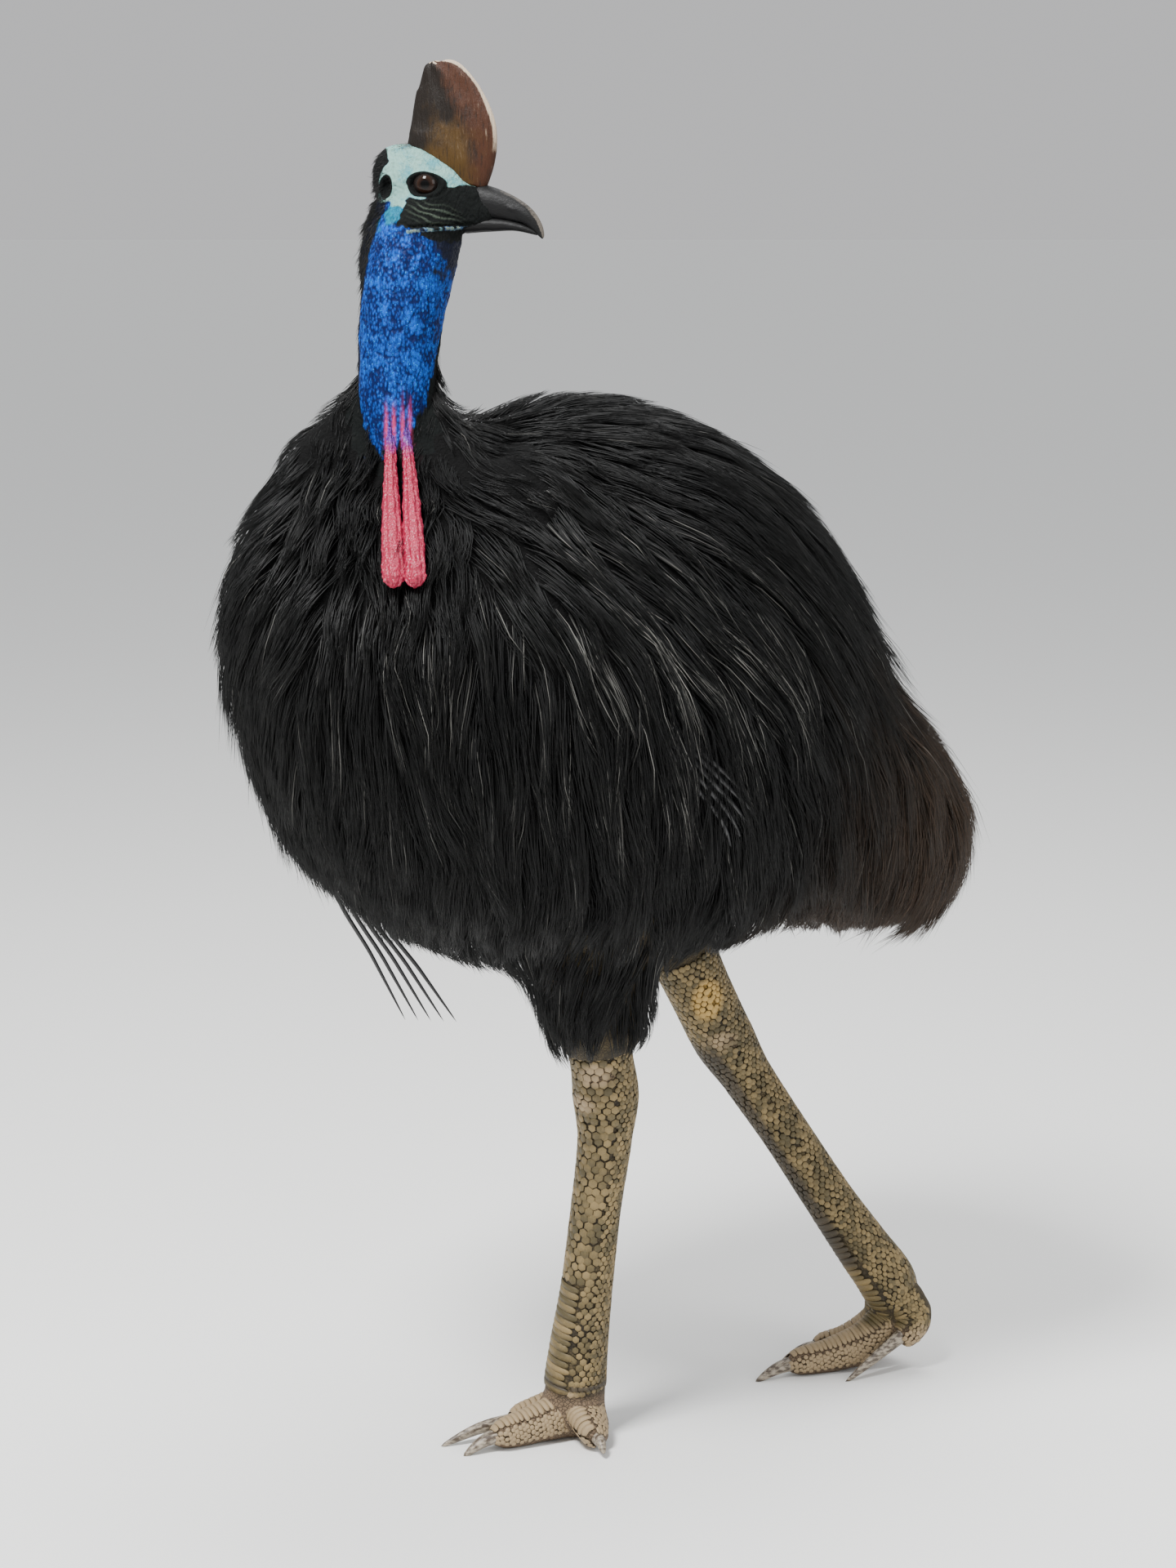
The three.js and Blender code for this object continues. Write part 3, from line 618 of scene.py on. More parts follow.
@dataclass(frozen=True)
class SkinFinish:
    """Bare skin of the head and neck, with painted shade in the neck's wrinkles and a painted highlight on
    the cheek's folds.
    """

    deep_blue: Colour = (0.0002, 0.0045, 0.050)
    bright_blue: Colour = (0.0002, 0.0680, 0.400)
    speck: Colour = (0.010, 0.300, 0.720)
    turquoise: Colour = (0.003, 0.170, 0.240)
    pale: Colour = (0.180, 0.325, 0.285)
    # A muted olive, at the foot of the casque and along the gape.
    grime: Colour = (0.110, 0.100, 0.070)
    navy: Colour = (0.0020, 0.0035, 0.013)
    black: Colour = (0.0026, 0.0034, 0.0032)
    # The grey-green of the painted highlight on the cheek's fold crests.
    ridge: Colour = (0.060, 0.078, 0.058)
    pink: Colour = (0.560, 0.045, 0.160)

    def material(self) -> bpy.types.Material:
        """Builds the finish; it reads the masks on the skin."""
        paint = Paint("neck_and_head_skin")
        cloud = paint.noise(60, 4)
        wrinkle = paint.cells(360, paint.place((1, 1, 0.6)))
        crease = paint.cells(95, paint.place((1, 1, 0.5)), "DISTANCE_TO_EDGE").step(0.0, 0.11)
        fine = paint.noise(900, 3)
        fleck = paint.noise(680, 2)
        # The blue deepens in the wrinkles' hollows and along the creases, where the bump sinks: painted
        # shade, with cloudy unevenness of the skin's own.
        spots = (wrinkle * -0.9 + 0.86 + (cloud - 0.5) * 1.5).step(0.1, 0.8)
        blue = paint.mix(spots * (0.45 + 0.55 * crease), self.deep_blue, self.bright_blue)
        blue = paint.mix(fleck.step(0.60, 0.70) * spots * 0.8, blue, self.speck)
        blue = paint.mix(paint.frayed("navy", cloud, 0.5).step(0.2, 0.8), blue, self.navy)
        turquoise = paint.frayed("turquoise", cloud, 0.9).step(0.3, 0.7)
        blue = paint.mix(turquoise * (0.55 + 0.45 * spots), blue, self.turquoise)
        pale = paint.mix(paint.frayed("grime", fine, 1.2).step(0.3, 0.9), self.pale, self.grime)
        pale = paint.mix((fine * 0.5 + cloud * 0.7).step(0.56, 0.78) * 0.6, pale, self.turquoise)
        share = (paint.frayed("pale", cloud, 0.5) + (fine - 0.5) * 0.3).step(0.32, 0.62)
        bare = paint.mix(share, blue, pale)
        # Painted highlight: grey-green lines on the crests of the cheek's folds.
        dark = paint.mix(paint.given("crinkle") * (0.3 + fine), self.black, self.ridge)
        colour = paint.mix(paint.frayed("black", cloud, 0.45).step(0.35, 0.65), bare, dark)
        colour = paint.mix(paint.given("stripe") * 0.85, colour, self.pink)
        height = wrinkle * -0.9 + fine * 0.4 + cloud * 0.6 + crease * 0.5
        gloss = 0.44 + 0.2 * fine + 0.36 * paint.given("black")
        return paint.finish(colour, gloss, paint.bump(height, 0.0012, 0.85), Subsurface_Weight=0.02,
                            Specular_IOR_Level=0.14)


@dataclass(frozen=True)
class LegFinish:
    """Scaly skin of the legs and toes, between their plates, with painted shade in the grooves of its small
    scales.
    """

    tan: Colour = (0.080, 0.058, 0.025)
    brown: Colour = (0.024, 0.018, 0.009)
    pink: Colour = (0.150, 0.102, 0.062)
    yellow: Colour = (0.340, 0.200, 0.040)
    crease: Colour = (0.020, 0.015, 0.010)

    def material(self) -> bpy.types.Material:
        """Builds the finish; it reads the masks on the skin."""
        paint = Paint("leg_skin")
        cloud = paint.noise(28, 5)
        plate = paint.cells(240, paint.place((1, 1, 1.2)), "DISTANCE_TO_EDGE").step(0.0, 0.12)
        base = paint.mix(cloud.step(0.35, 0.68), self.brown, self.tan)
        base = paint.mix(paint.frayed("pink", cloud, 0.7).step(0.25, 0.75), base, self.pink)
        base = paint.mix(paint.frayed("yellow", cloud, 0.5).step(0.2, 0.7), base, self.yellow)
        # Painted shade: dark in the grooves between the small scales, where the bump sinks.
        colour = paint.mix(plate * 0.75 + 0.25, self.crease, base)
        bump = paint.bump(plate + paint.noise(500, 3) * 0.3 + cloud * 0.6, 0.0009, 0.8)
        return paint.finish(colour, 0.6 + 0.2 * cloud, bump, Specular_IOR_Level=0.3)


@dataclass(frozen=True)
class ScaleFinish:
    """Horny plates, each of its own shade of olive tan, pinkish at the hock and on the toes, with painted
    shade at their feet, down the front of the right tarsus and in a crease across the left foot.
    """

    tan: Colour = (0.215, 0.152, 0.062)
    olive: Colour = (0.060, 0.045, 0.015)
    pink: Colour = (0.300, 0.218, 0.122)
    yellow: Colour = (0.440, 0.280, 0.080)
    shade: Colour = (0.030, 0.023, 0.015)

    def material(self) -> bpy.types.Material:
        """Builds the finish; it reads the plates' own numbers."""
        paint = Paint("leg_plates")
        cloud, grain, tone = paint.noise(30, 4), paint.noise(700, 3), paint.given("tone")
        light = (tone * 0.55 + cloud * 1.2 - 0.38 + (grain - 0.5) * 0.5).step(0.1, 0.9)
        base = paint.mix(light, self.olive, self.tan)
        pink = (paint.frayed("pink", cloud, 0.6) + tone * 0.2 - 0.1).step(0.25, 0.75)
        base = paint.mix(pink * 0.9, base, self.pink)
        base = paint.mix(paint.frayed("yellow", cloud, 0.4).step(0.25, 0.7), base, self.yellow)
        # Painted shade at the feet of the plates, where they meet the skin.
        base = paint.mix(paint.given("foot").step(0.2, 0.95) * 0.85, base, self.shade)
        # Painted shade: the shadow down the right tarsus and the crease across the left foot.
        colour = paint.mix(paint.frayed("shade", cloud, 0.6).step(0.1, 0.8) * 0.85, base, self.shade)
        bump = paint.bump(grain, 0.0005, 0.7)
        return paint.finish(colour, 0.48 + 0.2 * grain, bump, Specular_IOR_Level=0.4)


@dataclass(frozen=True)
class UnderCoatFinish:
    """The black skin and down under the feathers."""

    colour: Colour = (0.004, 0.004, 0.004)

    def material(self) -> bpy.types.Material:
        """Builds the finish."""
        paint = Paint("under_coat")
        fluff = paint.noise(350, 4)
        return paint.finish(self.colour, 0.8 + 0.2 * fluff, paint.bump(fluff, 0.004), Specular_IOR_Level=0.1)


@dataclass(frozen=True)
class CasqueFinish:
    """Worn horn of the casque: dark at the back, olive and reddish brown in front, with a pale painted
    highlight along its front edge.
    """

    dark: Colour = (0.0060, 0.0034, 0.0018)
    red: Colour = (0.036, 0.0105, 0.0030)
    olive: Colour = (0.044, 0.0215, 0.0022)
    pale: Colour = (0.400, 0.320, 0.235)

    def material(self) -> bpy.types.Material:
        """Builds the finish; it reads the casque's own numbers."""
        paint = Paint("casque_horn")
        cloud = paint.noise(45, 5)
        streak = paint.noise(1, 4, paint.place((420, 420, 60)), 0.65)
        front, low = paint.given("front"), paint.given("low")
        blotch = (cloud - 0.5) * 1.3
        reddish = (front + blotch + (streak - 0.5) * 0.8).step(0.25, 0.95)
        base = paint.mix(reddish, self.dark, self.red)
        base = paint.mix((low + blotch + (streak - 0.5) * 0.6).step(0.1, 1.0), base, self.olive)
        base = paint.mix(streak.step(0.30, 0.48) * -0.6 + 0.6, base, self.dark)
        base = paint.mix(streak.step(0.60, 0.80) * 0.4 * front, base, self.pale)
        # Painted highlight: pale along the front edge, where the casque turns edge-on.
        colour = paint.mix(paint.frayed("edge", streak, 0.8).step(0.4, 0.8), base, self.pale)
        bump = paint.bump(streak + cloud * 0.6 + paint.noise(700, 2) * 0.15, 0.0015, 0.9)
        return paint.finish(colour, 0.42 + 0.25 * cloud, bump, Specular_IOR_Level=0.22)


@dataclass(frozen=True)
class BillFinish:
    """Black horn, greyer where it is worn at the tip, with a grey painted highlight along the upper ridge.
    """

    black: Colour = (0.0050, 0.0050, 0.0052)
    grey: Colour = (0.085, 0.074, 0.062)

    def material(self) -> bpy.types.Material:
        """Builds the finish; it reads the bill's own numbers."""
        paint = Paint("bill_horn")
        streak = paint.noise(1, 4, paint.place((260, 260, 700)), 0.6)
        # Grey where the bill is worn at the tip, and a painted highlight along the upper bill's ridge.
        colour = paint.mix(paint.frayed("rubbed", streak, 0.9).step(0.35, 0.9), self.black, self.grey)
        bump = paint.bump(streak, 0.0006, 0.7)
        return paint.finish(colour, 0.36 + 0.3 * streak, bump, Specular_IOR_Level=0.17)


@dataclass(frozen=True)
class EyeFinish:
    """A dark brown iris round a black pupil, with a dark edge under the lids."""

    pupil: Colour = (0.001, 0.001, 0.001)
    iris: Colour = (0.0080, 0.0035, 0.0020)
    rim: Colour = (0.0200, 0.0095, 0.0060)
    edge: Colour = (0.012, 0.009, 0.008)

    def material(self) -> bpy.types.Material:
        """Builds the finish; it reads the distance from the gaze, in radians."""
        paint = Paint("eye")
        gaze = paint.frayed("gaze", paint.noise(900, 4), 0.06)
        colour = paint.add("ShaderNodeValToRGB", {"stops": [
            (0.0, self.pupil), (0.28, self.pupil), (0.34, self.iris), (0.58, self.rim), (0.68, self.edge)]},
            {"Fac": gaze})
        return paint.finish(colour, 0.07, Specular_IOR_Level=0.10, Coat_Weight=0.15, Coat_Roughness=0.02)


@dataclass(frozen=True)
class WattleFinish:
    """Wrinkled pink and red skin, with pale specks of painted highlight."""

    red: Colour = (0.260, 0.004, 0.030)
    pink: Colour = (0.430, 0.020, 0.068)
    # The pale of the painted highlight specks.
    fleck: Colour = (0.620, 0.220, 0.240)
    purple: Colour = (0.060, 0.020, 0.250)

    def material(self) -> bpy.types.Material:
        """Builds the finish; it reads the wattle's own numbers."""
        paint = Paint("wattle_skin")
        wrinkle = paint.cells(420, paint.place((1, 1, 0.55)))
        cloud = paint.noise(90, 3)
        base = paint.mix((wrinkle * -1 + 0.8 + (cloud - 0.5)).step(0.2, 0.8), self.red, self.pink)
        # Painted highlights: pale specks on the bumpy skin.
        base = paint.mix(paint.noise(480, 2).step(0.62, 0.72) * 0.5, base, self.fleck)
        colour = paint.mix(paint.frayed("top", cloud, 0.8).step(0.3, 1.0) * 0.85, base, self.purple)
        bump = paint.bump(wrinkle * -1 + cloud, 0.0012, 0.9)
        return paint.finish(colour, 0.42, bump, Subsurface_Weight=0.05)


@dataclass(frozen=True)
class ClawFinish:
    """Pale, streaked horn of the claws."""

    pale: Colour = (0.340, 0.290, 0.220)
    brown: Colour = (0.060, 0.042, 0.028)

    def material(self) -> bpy.types.Material:
        """Builds the finish."""
        paint = Paint("claw_horn")
        streak = paint.noise(1, 4, paint.place((300, 90, 300)), 0.6)
        colour = paint.mix(streak.step(0.38, 0.66), self.brown, self.pale)
        return paint.finish(colour, 0.35 + 0.2 * streak, paint.bump(streak, 0.0006, 0.8))


@dataclass(frozen=True)
class QuillFinish:
    """Hard black quills."""

    colour: Colour = (0.006, 0.006, 0.007)

    def material(self) -> bpy.types.Material:
        """Builds the finish."""
        paint = Paint("quills")
        grain = paint.noise(1, 2, paint.place((900, 900, 120)))
        return paint.finish(self.colour, 0.24 + 0.2 * grain, paint.bump(grain, 0.0002))


@dataclass(frozen=True)
class FloorFinish:
    """A plain pale studio floor."""

    colour: Colour = (0.90, 0.90, 0.88)

    def material(self) -> bpy.types.Material:
        """Builds the finish."""
        paint = Paint("studio_floor")
        return paint.finish(self.colour, 0.85 + 0.05 * paint.noise(3))


@dataclass
class Head:
    """The head, whose own frame has x along the bill, y to its left and z up, from between the eyes.

    Attributes:
        at: Where that frame lies in the bird's.
        turn: How far the bill is turned from the bird's left towards its tail.
        pitch: How far the bill points down.
    """

    at: Sequence[float] = (4.6, 42.4, 1394.0)
    turn: float = math.radians(40)
    pitch: float = math.radians(14)
    skull: Sequence[Station] = (
        (-66, 0, -10, 0, 0), (-50, 0, -6, 24, 33), (-24, 0, -4, 29, 38), (4, 0, -8, 29, 36),
        (32, 0, -14, 24, 30), (56, 0, -13, 16, 23), (70, 0, -12, 11, 17), (76, 0, -12, 0, 0))
    throat: Sequence[Station] = (
        (-20, 0, -20, 30, 40), (-12, 0, -48, 33, 52), (-12, 0, -70, 36, 52), (-19, 0, -96, 34, 41),
        (-15, 0, -126, 24, 26))
    casque: Sequence[Station] = (
        (13, 0, 8, 14, 45), (12, 0, 34, 13.5, 49.5), (8, 0, 58, 11.5, 48.5), (-5, 0, 86, 8.5, 39.5),
        (-17, 0, 105, 6.5, 29), (-28, 0, 117, 4.5, 12), (-30, 0, 120.5, 0, 0))
    bill_upper: Sequence[Station] = (
        (52, 0, -5, 13, 17), (66, 0, -4, 12, 16), (88, 0, -4, 9.5, 13), (108, 0, -7, 7, 9),
        (121, 0, -14, 4.5, 6), (129, 0, -22, 2, 3), (131, 0, -25, 0, 0))
    bill_lower: Sequence[Station] = (
        (46, 0, -33, 12, 8), (70, 0, -25.6, 10, 7.6), (98, 0, -20.2, 6.5, 5.0), (118, 0, -20.8, 3.2, 2.8),
        (125, 0, -22.5, 0, 0))
    eye_at: Sequence[float] = (0.5, 17.5, 0.0)
    eye_radius: float = 15.0
    lid_front: float = 17.5
    lid_back: float = 13.5
    lid_up: float = 9.0
    lid_down: float = 11.0
    lid_slope: float = 0.12
    brow: Sequence[Sequence[float]] = (
        (-50, 0, 26), (-28, 0, 29), (-3, 0, 25), (18, 0, 18), (36, 0, 10), (52, 0, 3))
    ear_at: Sequence[float] = (-41, 30, -14)
    nostril_at: Sequence[float] = (94, 8.5, -3)
    mouth: Sequence[Sequence[float]] = ((6, 31, -45), (32, 20.5, -36), (56, 15, -29))

    @property
    def matrix(self) -> Array:
        """The turn from the head's frame to the bird's."""
        return np.array(Euler((0, self.pitch, self.turn), "XYZ").to_matrix())

    def out(self, points: Array) -> Array:
        """Points of the head's frame in the bird's."""
        return np.asarray(points) @ self.matrix.T + np.array(self.at)

    def local(self, points: Array) -> Array:
        """Points of the bird's frame in the head's."""
        return (points - np.array(self.at)) @ self.matrix

    def turned(self, form: bmesh.types.BMesh) -> bmesh.types.BMesh:
        """Moves a form from the head's frame to the bird's."""
        move(form, self.out(vertices_of(form)))
        return form

    def mouth_line(self, count: int) -> Array:
        """Points along the mouth behind the bill, on the head's middle plane."""
        return curve(np.array(self.mouth, float) * np.array([1, 0, 1]), np.linspace(0, 1, count))

    def lid_distance(self, local: Array) -> Array:
        """How far a place is from the eye, seen from the side: 1 on the edge of the almond opening."""
        x, z = local[:, 0] - self.eye_at[0], local[:, 2] - self.eye_at[2]
        rise = z - self.lid_slope * x
        return np.hypot(x / np.where(x > 0, self.lid_front, self.lid_back),
                        rise / np.where(rise > 0, self.lid_up, self.lid_down))

    def ear_distance(self, local: Array, halves: Sequence[float]) -> Array:
        """How far a place is from the nearer ear: 1 on the ellipsoid with these half sizes."""
        return np.linalg.norm((on_left(local) - np.array(self.ear_at)) / np.array(halves), axis=1)

    def eye_centre(self, side: Side) -> Array:
        """An eye's centre in the bird's frame."""
        x, y, z = self.eye_at
        return self.out(np.array([x, side.value * y, z]))


@dataclass
class Body:
    """The coat's outline, measured from the heart, the middle of the body."""

    heart: Sequence[float] = (0, 270, 850)
    half_width: float = 269
    fullness: float = 2.3
    reaches: Sequence[float] = (300, 275, 286, 318, 359, 494, 443, 393, 331, 292, 312, 480)
    shoulder_angle: float = math.radians(124)
    shoulder_slope: float = 0.79
    shoulder_power: float = 5.9
    parting_at: Sequence[float] = (70, -60, 1080)
    parting_depth: float = 0.13
    parting_width: float = 0.28
    neck_foot: Sequence[float] = (0, 0, 1107)
    collar: Sequence[Station] = (
        (-4, 38, 1020, 196, 192), (-8, -2, 1095, 139, 134), (-5, -2, 1145, 86, 84), (-1, 0, 1185, 54, 53),
        (0, 2, 1225, 45, 45), (0, 6, 1258, 44.5, 45.5), (2, 28, 1345, 45, 45), (3, 38, 1385, 20, 20))
    collar_bearing: float = math.radians(-40)
    collar_height: float = 1212
    collar_slope: float = 2.5

    def reach(self, rays: Array) -> Array:
        """How far the outline is from the heart in each direction."""
        turn = np.arctan2(rays[:, 2], rays[:, 1])
        table = np.array(self.reaches, float)[:, None] * np.array([[1.0, 0, 0]])
        outline = curve(table, turn / (2 * math.pi), closed=True)[:, 0]
        along = np.hypot(rays[:, 1], rays[:, 2]) / outline
        across = np.abs(rays[:, 0]) / self.half_width
        nearness = np.maximum(0, np.cos(turn - self.shoulder_angle)) ** self.shoulder_power
        fullness = self.fullness - self.shoulder_slope * nearness
        reach = (along ** fullness + across ** fullness) ** (-1 / fullness)
        parting = unit(np.array(self.parting_at, float) - np.array(self.heart))
        aside = np.arccos(np.clip(rays @ parting, -1, 1)) / self.parting_width
        return reach * (1 - self.parting_depth * np.exp(-aside * aside))

    def on(self, points: Array, depth: Array | float = 0.0) -> Array:
        """The outline's points, or a lower layer's, in line with the heart and the given ones."""
        heart = np.array(self.heart, float)
        rays = unit(points - heart)
        return heart + rays * (self.reach(rays) - depth)[:, None]

    def form(self, depth: float, around: int, rows: int) -> bmesh.types.BMesh:
        """The body below its outline by a depth, as a closed mesh."""
        form = ball_form(around, rows)
        move(form, self.on(np.array(self.heart) + vertices_of(form)[:, [2, 0, 1]], depth))
        bmesh.ops.recalc_face_normals(form, faces=form.faces)
        return form

    @property
    def collar_facing(self) -> Array:
        """The upward direction of the collar's slanted edge."""
        bearing = (math.cos(self.collar_bearing), math.sin(self.collar_bearing))
        return unit(np.array([self.collar_slope * bearing[0], self.collar_slope * bearing[1], 1.0]))

    def above_collar(self, points: Array) -> Array:
        """How far a point is above the slanted edge of the collar."""
        return (points - np.array([0, 0, self.collar_height])) @ self.collar_facing

    def collar_form(self, depth: float, around: int, rows: int) -> bmesh.types.BMesh:
        """The collar below its surface by a depth, cut away above its slanted edge."""
        stations = [(x, y, z, a - depth, b - depth) for x, y, z, a, b in self.collar]
        form = Loft(stations).form(around, rows)
        cut = bmesh.ops.bisect_plane(
            form, geom=[*form.verts, *form.edges, *form.faces], plane_co=(0, 0, self.collar_height),
            plane_no=tuple(self.collar_facing), clear_outer=True)
        rim = [part for part in cut["geom_cut"] if isinstance(part, bmesh.types.BMEdge)]
        bmesh.ops.edgeloop_fill(form, edges=rim)
        bmesh.ops.triangulate(form, faces=form.faces)
        return form


NECK: Sequence[Station] = (
    (0, 30, 1030, 50, 50), (0, 4, 1090, 44, 44), (0, 0, 1150, 41, 41), (0, 1, 1205, 41, 41),
    (0, 6, 1255, 43, 44), (1, 16, 1305, 46, 46), (2, 28, 1345, 44, 44), (3, 38, 1385, 26, 26))

LEGS: dict[Side, Sequence[Station]] = {
    Side.LEFT: (
        (98, 158, 640, 40, 44), (82, 184, 540, 33, 38), (70, 207, 450, 32, 35), (65, 215, 410, 36, 36),
        (60, 217, 360, 29, 30), (46, 213, 270, 26, 28), (32, 210, 180, 27, 29), (18, 207, 100, 32, 33),
        (11, 207, 55, 35, 35), (10, 209, 18, 28, 29), (10, 210, -6, 0, 0)),
    Side.RIGHT: (
        (-78, 322, 660, 42, 46), (-72, 372, 570, 37, 42), (-73, 424, 470, 34, 37), (-75, 456, 412, 35, 36),
        (-68, 484, 365, 28, 30), (-50, 530, 290, 26, 28), (-28, 578, 208, 27, 29), (-10, 615, 148, 30, 32),
        (2, 640, 108, 33, 34), (4, 650, 80, 27, 29), (4, 652, 70, 0, 0)),
}

THIGHS: dict[Side, Sequence[Station]] = {
    Side.LEFT: (
        (108, 215, 700, 90, 100), (99, 192, 640, 80, 90), (85, 188, 560, 57, 66), (75, 201, 495, 43, 50),
        (71, 206, 468, 37, 42)),
    Side.RIGHT: (
        (-106, 300, 720, 90, 100), (-94, 322, 670, 78, 88), (-78, 354, 605, 56, 64),
        (-73, 380, 556, 43, 49)),
}


class Toe(Enum):
    """The three toes of a foot."""

    MIDDLE = "middle"
    INNER = "inner"
    OUTER = "outer"


TOES: dict[Side, dict[Toe, tuple[Sequence[Station], Sequence[Station]]]] = {
    Side.LEFT: {
        Toe.MIDDLE: (
            ((11, 226, 36, 26, 33), (10, 190, 26, 22, 27), (9, 150, 20, 19, 21.5), (8, 116, 16, 16, 17.5),
             (8, 97, 13, 0, 0)),
            ((8, 116, 17, 11, 9), (7.5, 92, 13, 8, 7), (7, 66, 0, 0, 0))),
        Toe.INNER: (
            ((0, 224, 34, 22, 30), (-8, 186, 24, 18, 25.5), (-15, 150, 18, 15, 19.5), (-18, 132, 15, 0, 0)),
            ((-16, 148, 20, 8, 9), (-23, 104, 16, 6, 7), (-30, 57, 1, 0, 0))),
        Toe.OUTER: (
            ((14, 214, 36, 22, 32), (40, 208, 26, 19, 27.5), (64, 202, 18, 15, 19.5), (78, 199, 15, 0, 0)),
            ((64, 202, 18, 8, 8), (82, 199, 15, 6, 6), (95, 196, 7, 0, 0))),
    },
    Side.RIGHT: {
        Toe.MIDDLE: (
            ((3, 646, 98, 27, 28), (-2, 652, 62, 25, 27), (-8, 622, 32, 23, 26), (-18, 574, 19, 19, 20.5),
             (-25, 532, 15, 15, 16.5), (-27, 513, 13, 0, 0)),
            ((-25, 532, 16, 10, 9), (-28, 506, 12, 8, 7), (-30, 476, 0, 0, 0))),
        Toe.INNER: (
            ((16, 650, 96, 20, 24), (26, 664, 66, 20, 24), (29, 650, 44, 15, 18), (28, 640, 38, 0, 0)),
            ((29, 652, 50, 8, 9), (27, 618, 30, 6, 7), (23, 568, -1, 0, 0))),
        Toe.OUTER: (
            ((-10, 648, 92, 22, 25), (-26, 652, 50, 20, 24), (-46, 618, 20, 17, 21.5),
             (-58, 590, 15, 14, 16.5), (-63, 575, 13, 0, 0)),
            ((-58, 590, 16, 9, 8), (-67, 568, 13, 6, 6), (-74, 541, 0, 0, 0))),
    },
}


BETWEEN_LEGS = 340
NECK_AXIS = (0, 4)


def distance_to(points: Array, line: Sequence[Sequence[float]]) -> Array:
    """How far points are from the smooth line through the given places."""
    marks = curve(np.array(line, float), np.linspace(0, 1, 32))
    return np.sqrt(((points[:, None] - marks[None]) ** 2).sum(axis=2).min(axis=1))


def nape_share(points: Array, head: Head) -> Array:
    """How far within the hairy band down the back of the neck places are, from 0 to 1."""
    table = np.array(NECK, float)
    middle = np.interp(points[:, 2], table[:, 2], table[:, 1])
    bearing = np.arctan2(points[:, 1] - middle, points[:, 0])
    off = np.abs((bearing - head.turn) % (2 * math.pi) - math.pi)
    band = 1 - smooth(off, math.radians(30), math.radians(44))
    return band * smooth(points[:, 2], 1120, 1170) * (1 - smooth(points[:, 2], 1385, 1405))


def cheek_folds(places: Array) -> Array:
    """The waves of the cheek's fine folds, from -1 to 1, at places on the head's middle plane."""
    off = places[:, 2] + 0.12 * places[:, 0] + 1.6 * ripple(places, 22, 5)
    return np.sin(off * 2 * math.pi / 5.2)


def limb_marks(points: Array) -> dict[str, Array]:
    """The markings and the painted shade of the legs and toes, from 0 to 1, by name."""
    height = points[:, 2]
    right_leg = points[:, 1] > BETWEEN_LEGS
    pink = np.maximum.reduce([
        near(points, (92, 185, 440), (30, 44, 24)),
        0.85 * near(points, (70, 180, 404), (40, 40, 22)),
        0.8 * near(points, (-50, 440, 418), (30, 50, 34)),
        1 - smooth(height, 34, 80)])
    yellow = near(points, (-42, 413, 468), (26, 34, 46))
    # Painted shade: a shadow down the front of the right tarsus, and a dark crease across the left foot.
    spine = np.array(LEGS[Side.RIGHT], float)[::-1]
    ahead = np.interp(height, spine[:, 2], spine[:, 1]) - points[:, 1]
    front = smooth(ahead, 18, 34) * smooth(height, 110, 150) * (1 - smooth(height, 380, 430))
    crease = 1 - smooth(np.abs(height - 64 + 0.12 * (points[:, 0] - 60)), 1.5, 4.5)
    shade = np.where(right_leg, front, crease)
    return {"pink": pink, "yellow": yellow, "shade": shade}


